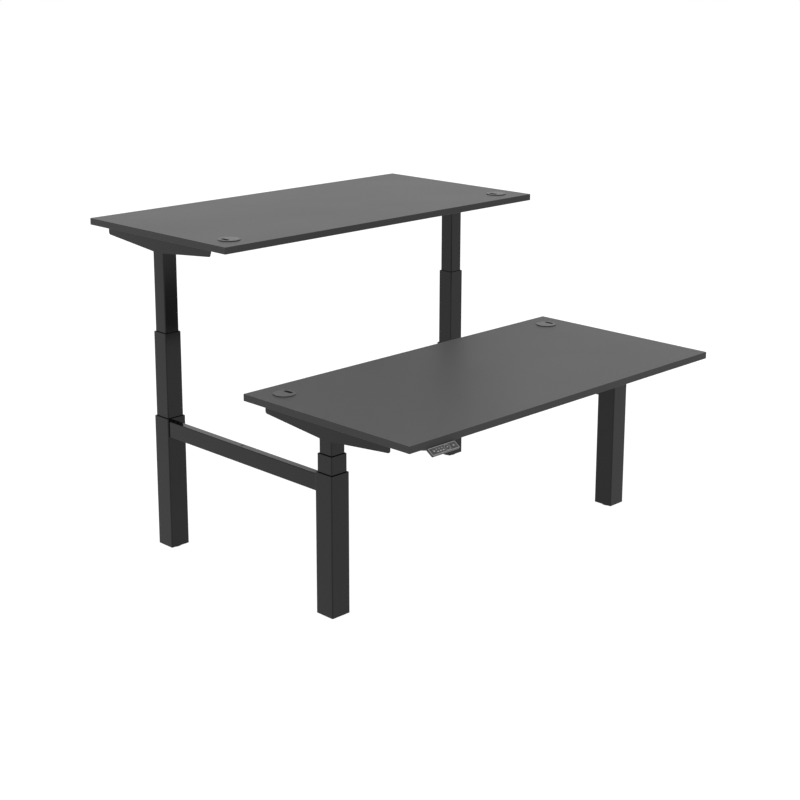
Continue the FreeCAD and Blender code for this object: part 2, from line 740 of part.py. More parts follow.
def beam_screw(name, turn, y, z):
    """A pan-head screw through the crossbeam's inner side into the spigot's cheek."""
    body = new_body(name)
    reach = s.beam_wall + s.spigot_gap + s.spigot_wall
    turn_profile(body, [
        (0, -reach), (s.bolt_width / 2, -reach), (s.bolt_width / 2, 0), (s.bolt_head_width / 2, 0),
        (s.bolt_head_width / 2, s.bolt_head_height), (0, s.bolt_head_height),
    ])
    place(body, -beam_x + s.beam_width / 2, y, z, turn)
    body.Placement.Rotation = Rotation(Vector(0, 0, 1), turn) * Rotation(Vector(0, 1, 0), 90)
    return body


beam_screws = []
for side_name, turn in (("left", 0), ("right", 180)):
    keep(f"crossbeam_{side_name}", crossbeam(f"beam_{side_name}", turn))
    for end in (-1, 1):
        along = end * (beam_length / 2 - s.beam_screw_inset)
        for way in (-1, 1):
            high = beam_mid + way * s.beam_screw_spacing / 2
            beam_screws.append(beam_screw(f"beam_screw_{side_name}", turn, along, high))
keep("crossbeam_screws", group("beam_screws", beam_screws))


# ---- desktops, arms and what hangs under them ------------------------------------------------

arm_screws = [
    (across * column_x, along * reach)
    for across in (-1, 1) for along in (-1, 1) for reach in (s.arm_screw_near, s.arm_screw_far)
]
box_x = -s.box_offset
box_screws = [(box_x + way * (s.box_length + s.ear_length) / 2, 0) for way in (-1, 1)]
handset_x = -s.handset_offset
lip_y = -s.top_depth / 2 - s.handset_proud
lug_y = lip_y + s.handset_reach + s.ear_length / 2
handset_screws = [(handset_x + way * s.handset_length / 4, lug_y) for way in (-1, 1)]
grommets = [
    (way * (s.top_length / 2 - s.grommet_inset), s.top_depth / 2 - s.grommet_inset)
    for way in (-1, 1)
]


def desktop(name, turn, height):
    """The panel, with its grommet holes and the pilot holes for its screws."""
    body = new_body(name)
    outline = new_sketch(body, "XY_Plane", -s.top_thick)
    draw_rectangle(outline, s.top_length, s.top_depth)
    panel = pad(body, outline, s.top_thick)
    rounded = fillet(body, panel, s.top_corner, edge_test(UPRIGHT))
    fillet(body, rounded, s.top_edge, lambda edge: edge.BoundBox.ZLength < 1e-6)
    holes = new_sketch(body, "XY_Plane", -s.top_thick)
    for x, y in grommets:
        draw_circle(holes, s.grommet_hole, x, y)
    pocket(body, holes, s.top_thick)
    pilots = new_sketch(body, "XY_Plane", -s.top_thick)
    for x, y in arm_screws + box_screws + handset_screws:
        draw_circle(pilots, s.wood_width + 2 * s.screw_play, x, y)
    pocket(body, pilots, s.wood_bite)
    return place(body, 0, -column_y, height, turn)


def support_arm(name, turn, x, height):
    """A folded channel, open below, deepest at the column, with a saddle plate on the head."""
    body = new_body(name)
    half, column = s.arm_length / 2, inner_width / 2
    outline = new_sketch(body, "YZ_Plane")
    draw_polygon(outline, [
        (-half, 0), (-half, -s.arm_end_depth), (-column, -s.arm_root_depth),
        (column, -s.arm_root_depth), (half, -s.arm_end_depth), (half, 0),
    ])
    solid = pad(body, outline, inner_width, symmetric=True)
    low = 0.01 - s.arm_end_depth.value

    def end_corner(edge):
        middle = edge.CenterOfMass
        return edge.BoundBox.XLength > 1 and abs(middle.y) > half.value - 1 and middle.z < low

    fillet(body, solid, s.arm_corner, end_corner)
    cavity = new_sketch(body, "YZ_Plane")
    inside, deep = half - s.arm_wall, s.arm_root_depth + s.arm_wall
    draw_polygon(cavity, [
        (-inside, -s.arm_wall), (-inside, -deep), (inside, -deep), (inside, -s.arm_wall)])
    pocket(body, cavity, inner_width - 2 * s.arm_wall, symmetric=True)
    notches = new_sketch(body, "XY_Plane", -s.arm_root_depth)
    outer = 1 if as_size(x).value > 0 else -1
    for along in (-1, 1):
        middle = along * (s.arm_length - s.arm_tab + 2) / 2
        draw_rectangle(
            notches, inner_width, s.arm_tab + 2, -outer * s.arm_wall, middle)
    pocket(body, notches, s.arm_root_depth - s.arm_wall)
    saddle = new_sketch(body, "XY_Plane", -s.arm_root_depth)
    draw_rectangle(saddle, inner_width - s.arm_wall, s.saddle_length)
    pad(body, saddle, s.saddle_thick)
    bolt_holes = new_sketch(body, "XY_Plane", -s.arm_root_depth)
    draw_bolt_square(bolt_holes, bolt_hole)
    pocket(body, bolt_holes, s.saddle_thick)
    screw_holes = new_sketch(body, "XY_Plane", -s.arm_wall)
    for along in (-1, 1):
        for reach in (s.arm_screw_near, s.arm_screw_far):
            draw_circle(screw_holes, wood_hole, 0, along * reach)
    pocket(body, screw_holes, s.arm_wall)
    return place(body, x, -column_y, height - s.top_thick, turn)


def rails(name, turn, height):
    """The two square rails between the arms."""
    members = []
    length = 2 * column_x - inner_width
    low = height - s.top_thick - s.rail_depth
    for way in (-1, 1):
        y = way * s.rail_spacing / 2 - column_y
        bar = box(f"{name}_bar", length, s.rail_width, s.rail_depth, 0, y, low, turn)
        bore_width, bore_depth = s.rail_width - 2 * s.rail_wall, s.rail_depth - 2 * s.rail_wall
        bore = box(f"{name}_bore", length, bore_width, bore_depth, 0, y, low + s.rail_wall, turn)
        members.append(cut(f"{name}_rail", bar, [bore]))
    return group(name, members)


def control_box(name, turn, height):
    """The case of the electronics, with two ears and three sockets in one end."""
    body = new_body(name)
    low = -s.top_thick - s.box_depth
    outline = new_sketch(body, "XY_Plane", low)
    draw_rectangle(outline, s.box_length, s.box_width)
    solid = pad(body, outline, s.box_depth)
    fillet(body, solid, s.box_corner, edge_test(UPRIGHT))
    ears = new_sketch(body, "XY_Plane", -s.top_thick - s.ear_thick)
    draw_rectangle(ears, s.box_length + 2 * s.ear_length, s.ear_width)
    pad(body, ears, s.ear_thick)
    holes = new_sketch(body, "XY_Plane", -s.top_thick - s.ear_thick)
    for x, y in box_screws:
        draw_circle(holes, wood_hole, x - box_x, y)
    pocket(body, holes, s.ear_thick)
    sockets = new_sketch(body, "YZ_Plane", s.box_length / 2 - s.socket_depth)
    for step in (-1, 0, 1):
        middle = low + s.box_depth / 3
        draw_rectangle(sockets, s.socket_width, s.socket_height, step * s.socket_pitch, middle)
    pocket(body, sockets, s.socket_depth)
    return place(body, box_x, -column_y, height, turn)


def place_on_face(body, turn, height):
    """Put a body drawn in the handset's own sloping frame under the desktop's edge."""
    return place(body, handset_x, lip_y - column_y, height - s.top_thick, turn, s.handset_tilt.value)


key_row = -s.handset_face / 2
square_keys = {"key_down": -s.key_spread, "key_up": s.key_spread}


def handset_case(name, turn, height):
    """A thin sloping panel with key wells, on a wedge with a lug that is screwed to the desktop."""
    body = new_body(f"{name}_panel")
    tilt = s.handset_tilt
    back = (s.handset_reach * cosine(tilt), -s.handset_reach * sine(tilt))
    back_low = (
        s.handset_reach * cosine(tilt) - s.handset_back * sine(tilt),
        -s.handset_reach * sine(tilt) - s.handset_back * cosine(tilt),
    )
    outline = new_sketch(body, "YZ_Plane")
    draw_polygon(outline, [
        (0, 0), (-s.handset_face, 0), (-s.handset_face, -s.handset_thick),
        (0, -s.handset_thick), back_low, back,
    ])
    solid = pad(body, outline, s.handset_length, symmetric=True)
    lip = 0.01 - s.handset_face.value
    upright = edge_test(UPRIGHT)
    fillet(body, solid, s.handset_corner, lambda edge: upright(edge) and edge.CenterOfMass.y < lip)
    wells = new_sketch(body, "XY_Plane")
    square = s.key_width + 2 * s.key_gap
    for x in square_keys.values():
        draw_rectangle(wells, square, square, x, key_row)
    draw_circle(wells, s.key_round + 2 * s.key_gap, s.key_store_offset, key_row)
    pocket(body, wells, s.key_well, along_normal=False)
    place_on_face(body, turn, height)
    overlap = s.ear_thick / 2
    lug_width = s.handset_length - 2 * s.ear_length
    low = height - s.top_thick - s.ear_thick
    lug = box(
        f"{name}_lug", lug_width, s.ear_length + overlap, s.ear_thick,
        handset_x, lug_y - overlap / 2 - column_y, low, turn)
    whole = fuse(f"{name}_whole", [body, lug])
    drills = [
        cylinder(f"{name}_drill", wood_hole, s.ear_thick, x, y - column_y, low, turn)
        for x, y in handset_screws
    ]
    return cut(name, whole, drills)


def square_key(name, turn, height, x):
    """A square key in its well, drawn in the handset's sloping frame."""
    body = new_body(name)
    outline = new_sketch(body, "XY_Plane", s.key_proud - s.key_height)
    draw_rectangle(outline, s.key_width, s.key_width, x, key_row)
    solid = pad(body, outline, s.key_height)
    fillet(body, solid, s.key_corner, edge_test(UPRIGHT))
    return place_on_face(body, turn, height)


def round_key(name, turn, height):
    """The round key that stores a height."""
    body = new_body(name)
    outline = new_sketch(body, "XY_Plane", s.key_proud - s.key_height)
    draw_circle(outline, s.key_round, s.key_store_offset, key_row)
    pad(body, outline, s.key_height)
    return place_on_face(body, turn, height)


def screw(name, width, head_width, head_height, shank, x, y, head_low, turn, head_up=False):
    """An upright pan-head screw; head_low is where its head starts, below or above the shank."""
    head = cylinder(f"{name}_head", head_width, head_height, x, y, head_low, turn)
    start = head_low - shank if head_up else head_low + head_height
    rod = cylinder(f"{name}_shank", width, shank, x, y, start, turn)
    return fuse(name, [head, rod])


def wood_screws(name, turn, height):
    """Every screw that goes up into the desktop."""
    under = height - s.top_thick
    members = []
    for places, thick in ((arm_screws, s.arm_wall), (box_screws + handset_screws, s.ear_thick)):
        for x, y in places:
            members.append(screw(
                f"{name}_one", s.wood_width, s.wood_head_width, s.wood_head_height,
                thick + s.wood_bite - s.screw_play, x, y - column_y,
                under - thick - s.wood_head_height, turn))
    return group(name, members)


def head_bolts(name, turn, height):
    """The bolts that go down through each saddle into its column head."""
    top = height + head_top + s.saddle_thick
    half = s.bolt_spacing / 2
    members = []
    for side in SIDES.values():
        for across in (-1, 1):
            for along in (-1, 1):
                members.append(screw(
                    f"{name}_one", s.bolt_width, s.bolt_head_width, s.bolt_head_height,
                    s.saddle_thick + s.plate_thick - s.screw_play, side * column_x + across * half,
                    along * half - column_y, top, turn, head_up=True))
    return group(name, members)


ring_bore = s.grommet_hole / 2 - s.ring_fit - s.ring_wall
seat = ring_width / 2 - s.ring_lip


def grommet_ring(name, turn, x, y, height):
    """The fixed ring of a cable grommet: a barrel in the desktop and a rim on top of it."""
    body = new_body(name)
    rim = ring_width / 2
    barrel = ring_bore + s.ring_wall
    bevel = s.ring_rise / 3
    turn_profile(body, [
        (ring_bore, -s.ring_depth), (barrel, -s.ring_depth), (barrel, 0), (rim, 0),
        (rim, s.ring_rise - bevel), (rim - bevel, s.ring_rise), (seat, s.ring_rise),
        (seat, s.ring_floor), (ring_bore, s.ring_floor),
    ])
    return place(body, x, y - column_y, height, turn)


def grommet_lid(name, turn, x, y, height):
    """The lid that turns in its ring, with the cable slot near its edge."""
    body = new_body(name)
    skirt = ring_bore - s.lid_gap
    inside = skirt - s.lid_skirt_wall
    edge = seat - s.lid_gap
    low = s.ring_floor + s.lid_gap
    turn_profile(body, [
        (0, low), (inside, low), (inside, -s.lid_skirt), (skirt, -s.lid_skirt), (skirt, low),
        (edge, low), (edge, s.ring_rise), (0, s.ring_rise),
    ])
    slot = new_sketch(body, "XY_Plane", -s.lid_skirt)
    draw_obround(slot, s.slot_length, s.slot_width, s.slot_offset, 0)
    pocket(body, slot, s.lid_skirt + s.ring_rise)
    return place(body, x, y - column_y, height, turn)


for desk, (turn, height) in DESKS.items():
    keep(f"{desk}_desktop", desktop(f"{desk}_top", turn, height))
    for side_name, side in SIDES.items():
        where = f"{desk}_{world_side(turn, side_name)}"
        keep(f"support_arm_{where}", support_arm(f"arm_{where}", turn, side * column_x, height))
    keep(f"{desk}_rails", rails(f"{desk}_bars", turn, height))
    keep(f"{desk}_control_box", control_box(f"{desk}_box", turn, height))
    keep(f"{desk}_handset_case", handset_case(f"{desk}_case", turn, height))
    for key, x in square_keys.items():
        keep(f"{desk}_{key}", square_key(f"{desk}_{key}_body", turn, height, x))
    keep(f"{desk}_key_store", round_key(f"{desk}_key_store_body", turn, height))
    keep(f"{desk}_wood_screws", wood_screws(f"{desk}_screws", turn, height))
    keep(f"{desk}_head_bolts", head_bolts(f"{desk}_bolts", turn, height))
    rings = []
    for side_name, (x, y) in zip(SIDES, grommets):
        where = f"{desk}_{world_side(turn, side_name)}"
        rings.append(grommet_ring(f"ring_{where}", turn, x, y, height))
        keep(f"grommet_lid_{where}", grommet_lid(f"lid_{where}", turn, x, y, height))
    keep(f"{desk}_grommet_rings", group(f"{desk}_rings", rings))


# ---- check and write -------------------------------------------------------------------------

doc.recompute()
for item in doc.Objects:
    if "Invalid" in item.State or "Error" in item.State:
        raise RuntimeError(f"{item.Label} failed: {item.State}")
for label, target in PARTS.items():
    if target.Shape.isNull() or not target.Shape.isValid():
        raise RuntimeError(f"{label} has no valid shape")

os.makedirs("parts", exist_ok=True)
for label, target in PARTS.items():
    target.Shape.exportStep(f"parts/{label}.step")
    solids = len(target.Shape.Solids)
    print(f"{label}: {solids} solid(s), {target.Shape.Volume / 1000:.1f} cm3")
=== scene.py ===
"""Studio scene of a back-to-back pair of height adjustable desks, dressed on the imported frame."""

import json
import logging
import math
from dataclasses import dataclass, field
from enum import Enum

import bmesh
import bpy
from mathutils import Matrix, Vector


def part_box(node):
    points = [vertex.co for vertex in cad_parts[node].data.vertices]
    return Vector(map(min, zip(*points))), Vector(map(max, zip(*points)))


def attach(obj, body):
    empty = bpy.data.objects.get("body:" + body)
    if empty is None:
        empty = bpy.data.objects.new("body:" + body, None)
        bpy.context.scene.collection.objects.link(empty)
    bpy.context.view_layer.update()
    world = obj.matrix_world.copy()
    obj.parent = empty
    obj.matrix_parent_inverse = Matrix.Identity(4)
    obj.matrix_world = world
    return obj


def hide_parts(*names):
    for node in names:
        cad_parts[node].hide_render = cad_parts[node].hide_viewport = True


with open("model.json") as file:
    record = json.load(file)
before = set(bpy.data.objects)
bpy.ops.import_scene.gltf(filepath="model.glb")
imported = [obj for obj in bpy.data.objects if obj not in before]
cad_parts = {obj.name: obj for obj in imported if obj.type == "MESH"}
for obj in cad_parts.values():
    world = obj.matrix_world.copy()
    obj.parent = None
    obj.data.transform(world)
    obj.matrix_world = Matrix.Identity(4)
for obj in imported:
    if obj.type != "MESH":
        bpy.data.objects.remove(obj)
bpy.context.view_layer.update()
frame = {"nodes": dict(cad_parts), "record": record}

LOG = logging.getLogger("desk_pair")
Colour = tuple[float, float, float]
Point = tuple[float, float, float]
Corners = list[bmesh.types.BMVert]
Socket = bpy.types.NodeSocket
SizeValue = Socket | float | int

MIDDLE_OF_NOISE = (0.3, 0.7)  # where a noise's values mostly lie
RAMP_STOPS = (0.32, 0.68)
RELIEF_STRENGTH = 0.6
GRAIN_IN_COLOUR = 0.55  # share of the fine grain in the colour's pattern
DRIFT_IN_GLOSS = 0.6  # share of the slow drift in the roughness's pattern
# level faces keep their own colour; all other faces get the painted shade of the upright sides
UNSHADED_LEVEL_FACE = 0.6  # a face whose normal goes up or down by more is a level one
PRINT_SINK = 0.0001  # how far a print starts under the face that it lies on


# ---- named options ---------------------------------------------------------------------------


class Grain(Enum):
    """How the fine pattern of a finish runs: its frequency along X, Y and Z."""

    EVEN = (1.0, 1.0, 1.0)
    LENGTHWISE = (0.12, 1.0, 1.0)
    TURNED = (0.05, 0.05, 1.0)


class Recess(Enum):
    """The driver's recess in a screw's head, by its number of wings or sides."""

    CROSS = 4
    HEX = 6


class Desk(Enum):
    """The two desks, by the half turn that carries the front one's places to each."""

    FRONT = 0.0
    REAR = math.pi

    @property
    def label(self) -> str:
        """The desk's word in node and body names."""
        return self.name.lower()

    @property
    def body(self) -> str:
        """The body that rises with this desk's top."""
        return f"{self.label}_desk"

    @property
    def turn(self) -> Matrix:
        """The turn about the upright axis from the front desk's layout to this desk's."""
        return Matrix.Rotation(self.value, 4, "Z")

    @property
    def under(self) -> float:
        """Height of the desktop's lower face."""
        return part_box(f"{self.label}_desktop")[0].z

    def place(self, x: float, y: float, z: float) -> Point:
        """A point of the front desk's layout (along it, towards the rear desk, up), turned here."""
        return tuple(self.turn @ Vector((x, y, z)))


# ---- node trees ------------------------------------------------------------------------------


class NodeTree:
    """A node tree, with short ways to add nodes and join them."""

    tree: bpy.types.NodeTree

    def join(self, source: Socket, target: Socket) -> None:
        """Links an output to an input."""
        self.tree.links.new(source, target)

    def add(
        self, kind: str, inputs: dict[str | int, SizeValue | Point] | None = None, **settings: str
    ) -> bpy.types.Node:
        """Adds a node.

        Args:
            kind: the node's type name.
            inputs: what each input takes, a socket or a constant, by its name or place.
            settings: the node's own options.

        Returns:
            The node.
        """
        node = self.tree.nodes.new(kind)
        for option, value in settings.items():
            setattr(node, option, value)
        for place, value in (inputs or {}).items():
            if isinstance(value, Socket):
                self.join(value, node.inputs[place])
            else:
                node.inputs[place].default_value = value
        return node

    def maths(self, work: str, *values: SizeValue) -> Socket:
        """The result of a sum on one, two or three values."""
        return self.add("ShaderNodeMath", dict(enumerate(values)), operation=work).outputs[0]

    def times(self, first: SizeValue, second: SizeValue) -> Socket:
        """One value times another."""
        return self.maths("MULTIPLY", first, second)


# ---- finishes --------------------------------------------------------------------------------


class ShaderGraph(NodeTree):
    """A material's node tree, with its patterns and its shader."""

    def __init__(self, name: str) -> None:
        """Starts a material with one principled shader.

        Args:
            name: the material's name.
        """
        self.material = bpy.data.materials.new(name)
        self.material.use_nodes = True
        self.tree = self.material.node_tree
        self.shader = self.tree.nodes["Principled BSDF"]
        self.spot = self.tree.nodes.new("ShaderNodeTexCoord").outputs["Object"]

    def noise(self, scale: float, detail: float, grain: Grain = Grain.EVEN) -> Socket:
        """A cloudy pattern.

        Args:
            scale: how many clouds there are to a metre.
            detail: how many finer layers it has.
            grain: the way that it is drawn out.

        Returns:
            The pattern's value, from 0 to 1.
        """
        mapping = self.add("ShaderNodeMapping", {"Vector": self.spot, "Scale": grain.value})
        pattern = self.add("ShaderNodeTexNoise", {
            "Vector": mapping.outputs["Vector"], "Scale": scale, "Detail": detail})
        return pattern.outputs["Fac"]

    def flecks(self, scale: float) -> Socket:
        """Small cells of random lightness, as in a speckled sheet."""
        pattern = self.add("ShaderNodeTexVoronoi", {"Vector": self.spot, "Scale": scale})
        return pattern.outputs["Distance"]

    def blended(self, first: Socket, second: Socket, share: float) -> Socket:
        """Two patterns added, the second one by its share."""
        return self.maths("ADD", self.times(first, 1.0 - share), self.times(second, share))

    def spread(self, value: Socket, low: float, high: float) -> Socket:
        """A pattern's middle range stretched from low to high."""
        limits = zip(("From Min", "From Max", "To Min", "To Max"), (*MIDDLE_OF_NOISE, low, high))
        return self.add("ShaderNodeMapRange", {"Value": value, **dict(limits)}).outputs["Result"]

    def ramp(self, value: Socket, dark: Colour, light: Colour) -> Socket:
        """A pattern's middle range turned into colours.

        Args:
            value: the pattern.
            dark: colour where the pattern is low.
            light: colour where it is high.

        Returns:
            The colour.
        """
        node = self.add("ShaderNodeValToRGB", {"Fac": value})
        for stop, place, colour in zip(node.color_ramp.elements, RAMP_STOPS, (dark, light)):
            stop.position = place
            stop.color = (*colour, 1.0)
        return node.outputs["Color"]

    def upward(self, vector: Socket) -> Socket:
        """How far a vector goes up."""
        return self.add("ShaderNodeSeparateXYZ", {"Vector": vector}).outputs["Z"]

    def chosen(self, mask: Socket, off: Socket, on: Socket) -> Socket:
        """One colour where a mask is 0, another where it is 1."""
        inputs = {"Factor": mask, "A": off, "B": on}
        return self.add("ShaderNodeMix", inputs, data_type="RGBA").outputs["Result"]

    def relief(self, value: Socket, height: float) -> None:
        """Raises the surface by a pattern, with its height in metres."""
        inputs = {"Strength": RELIEF_STRENGTH, "Distance": height, "Height": value}
        normal = self.add("ShaderNodeBump", inputs).outputs["Normal"]
        self.join(normal, self.shader.inputs["Normal"])


@dataclass(frozen=True)
class Finish:
    """A finish whose colour, gloss and relief vary with a slow drift and a fine grain.

    Attributes:
        name: the material's name.
        slot: the record's material slot.
        dark: the darkest colour.
        light: the lightest colour.
        gloss: the lowest and highest roughness.
        grain_scale: fine grains to a metre.
        drift_scale: slow clouds to a metre.
        relief: height of the grain, in metres.
        index: refractive index.
        metal: 1 for bare metal.
        grain: the way that the grain runs.
    """

    name: str
    slot: str
    dark: Colour
    light: Colour
    gloss: tuple[float, float]
    grain_scale: float = 900.0
    drift_scale: float = 6.0
    relief: float = 0.00005
    index: float = 1.5
    metal: float = 0.0
    grain: Grain = Grain.EVEN

    def colour(self, graph: ShaderGraph, mottle: Socket) -> Socket:
        """The surface's colour from its mottled pattern."""
        return graph.ramp(mottle, self.dark, self.light)

    def fine(self, graph: ShaderGraph) -> Socket:
        """The finest pattern of the surface."""
        return graph.noise(self.grain_scale, 3.0, self.grain)

    def material(self) -> bpy.types.Material:
        """The finish as a material, made once.

        Returns:
            The material.
        """
        made = bpy.data.materials.get(self.name)
        if made:
            return made
        graph = ShaderGraph(self.name)
        fine = self.fine(graph)
        drift = graph.noise(self.drift_scale, 4.0)
        mottle = graph.blended(drift, fine, GRAIN_IN_COLOUR)
        wear = graph.blended(fine, drift, DRIFT_IN_GLOSS)
        inputs = graph.shader.inputs
        graph.join(self.colour(graph, mottle), inputs["Base Color"])
        graph.join(graph.spread(wear, *self.gloss), inputs["Roughness"])
        graph.relief(fine, self.relief)
        inputs["IOR"].default_value = self.index
        inputs["Metallic"].default_value = self.metal
        return graph.material

    def dress(self, piece: bpy.types.Object) -> bpy.types.Object:
        """Gives a piece this finish all over.

        Args:
            piece: a mesh object.

        Returns:
            The same object.
        """
        piece.data.materials.clear()
        piece.data.materials.append(self.material())
        return piece


@dataclass(frozen=True)
class PaintedShadeFinish(Finish):
    """A finish whose upright sides are painted darker than its level faces: painted shade, not a colour
    of its own.

    Attributes:
        painted_shade_dark: darkest colour of the painted shade on the upright sides.
        painted_shade_light: lightest colour of the painted shade on the upright sides.
    """

    painted_shade_dark: Colour = (0.02, 0.02, 0.02)
    painted_shade_light: Colour = (0.03, 0.03, 0.03)

    def colour(self, graph: ShaderGraph, mottle: Socket) -> Socket:
        """Own colour on the level faces, painted shade colour on the upright ones."""
        facing = graph.add("ShaderNodeNewGeometry").outputs["True Normal"]
        upright = graph.maths("ABSOLUTE", graph.upward(facing), 0.0)
        # painted shade: upright faces take the darker colour, level faces keep their own
        return graph.chosen(
            graph.maths("GREATER_THAN", upright, UNSHADED_LEVEL_FACE),
            graph.ramp(mottle, self.painted_shade_dark, self.painted_shade_light), super().colour(graph, mottle))


@dataclass(frozen=True)
class Laminate(PaintedShadeFinish):
    """A speckled laminate sheet, with plainer, darker painted shade on the board's upright edges.

    Attributes:
        fleck_scale: flecks to each fine grain.
        fleck_share: share of the flecks in the fine pattern.
    """

    fleck_scale: float = 0.7
    fleck_share: float = 0.35

    def fine(self, graph: ShaderGraph) -> Socket:
        """Fine flecks crossed with a faint lengthwise grain.

        Args:
            graph: the material's graph.

        Returns:
            The pattern's value.
        """
        streaks = graph.noise(self.grain_scale, 3.0, Grain.LENGTHWISE)
        flecks = graph.flecks(self.grain_scale * self.fleck_scale)
        return graph.blended(streaks, flecks, self.fleck_share)


@dataclass(frozen=True)
class ThreadedSteel(Finish):
    """Rolled steel with fine turned rings.

    Attributes:
        waver: how unevenly the rings run.
        noise_share: share of noise in the fine pattern.
    """

    waver: float = 0.4
    noise_share: float = 0.4

    def fine(self, graph: ShaderGraph) -> Socket:
        """Rings left by the tool, with a little noise.

        Args:
            graph: the material's graph.

        Returns:
            The pattern's value.
        """
        inputs = {"Vector": graph.spot, "Scale": self.grain_scale, "Distortion": self.waver}
        rings = graph.add("ShaderNodeTexWave", inputs, bands_direction="Z")
        noise = graph.noise(self.grain_scale, 3.0, Grain.TURNED)
        return graph.blended(rings.outputs["Fac"], noise, self.noise_share)


@dataclass(frozen=True)
class PostSteel(ThreadedSteel):
    """Rolled steel, blackened at its foot, where the plate closes the leg.

    Attributes:
        black_top: height of the blackened part above the floor.
        black: its colours.
    """

    black_top: float = 0.02
    black: tuple[Colour, Colour] = ((0.02, 0.02, 0.02), (0.03, 0.03, 0.03))

    def colour(self, graph: ShaderGraph, mottle: Socket) -> Socket:
        """Steel colour above, black below."""
        return graph.chosen(
            graph.maths("GREATER_THAN", graph.upward(graph.spot), self.black_top),
            graph.ramp(mottle, *self.black), super().colour(graph, mottle))


def grey(level: float, warm: float = 0.0) -> Colour:
    """A grey of this lightness, a little cooler where warm is below 0."""
    return (level * (1.0 + warm), level, level * (1.0 - warm))


# the desktop's upright edges get painted shade, darker than its top
TOP_LAMINATE = Laminate(
    "top_laminate", "desktop_laminate", grey(0.089), grey(0.097), (0.36, 0.42),
    grain_scale=1100.0, drift_scale=3.0, relief=0.00003, index=1.14,
    painted_shade_dark=grey(0.043), painted_shade_light=grey(0.048))
POWDER_COAT = Finish(
    "powder_coat", "frame_paint", grey(0.0025), grey(0.004), (0.16, 0.24),
    grain_scale=700.0, drift_scale=9.0, relief=0.00002, index=1.33)
GLIDE_PLASTIC = Finish(
    "glide_acetal", "glide_plastic", grey(0.012), grey(0.018), (0.42, 0.55), grain_scale=1500.0)
BLACK_ZINC = Finish(
    "black_zinc", "fastener_steel", grey(0.07, -0.02), grey(0.11, -0.02), (0.28, 0.42),
    grain_scale=1800.0, metal=1.0)
ROLLED_STEEL = ThreadedSteel(
    "rolled_steel", "machine_steel", grey(0.4), grey(0.55), (0.22, 0.34), grain_scale=260.0,
    relief=0.0002, metal=1.0)
POST_STEEL = PostSteel(
    "post_steel", "machine_steel", grey(0.4), grey(0.55), (0.3, 0.42), grain_scale=260.0,
    relief=0.0001, metal=1.0)
MOTOR_PAINT = Finish(
    "motor_paint", "motor_can", grey(0.1), grey(0.14), (0.35, 0.45), grain_scale=600.0)
FOOT_NYLON = Finish(
    "foot_nylon", "foot_plastic", grey(0.01), grey(0.016), (0.4, 0.55), grain_scale=1400.0)
# the grommet's upright sides get painted shade, far darker than its level faces
GROMMET_PLASTIC = PaintedShadeFinish(
    "grommet_moulding", "grommet_plastic", grey(0.098), grey(0.11), (0.36, 0.46), grain_scale=1600.0,
    relief=0.00004, index=1.3, painted_shade_dark=grey(0.018), painted_shade_light=grey(0.024))
# the control box's upright sides get painted shade, darker than its level faces
CASE_PLASTIC = PaintedShadeFinish(
    "case_moulding", "case_plastic", grey(0.04), grey(0.048), (0.38, 0.5), grain_scale=1500.0,
    relief=0.00006, painted_shade_dark=grey(0.012), painted_shade_light=grey(0.018))
KEY_PLASTIC = Finish(
    "key_moulding", "key_plastic", grey(0.034), grey(0.042), (0.3, 0.42), grain_scale=1700.0)
BEZEL_GREY = Finish(
    "bezel_grey", "case_plastic", grey(0.21), grey(0.26), (0.3, 0.42), grain_scale=1500.0)
MARK_PRINT = Finish(
    "mark_print", "key_plastic", grey(0.38), grey(0.46), (0.45, 0.6), grain_scale=2200.0,
    relief=0.00001)
SLOT_FINISHES = {
    finish.slot: finish
    for finish in (
        TOP_LAMINATE, POWDER_COAT, GLIDE_PLASTIC, BLACK_ZINC, ROLLED_STEEL, MOTOR_PAINT, FOOT_NYLON,
        GROMMET_PLASTIC, CASE_PLASTIC, KEY_PLASTIC)
}
NODE_FINISHES = {"base_posts": POST_STEEL}


# ---- geometry trees --------------------------------------------------------------------------


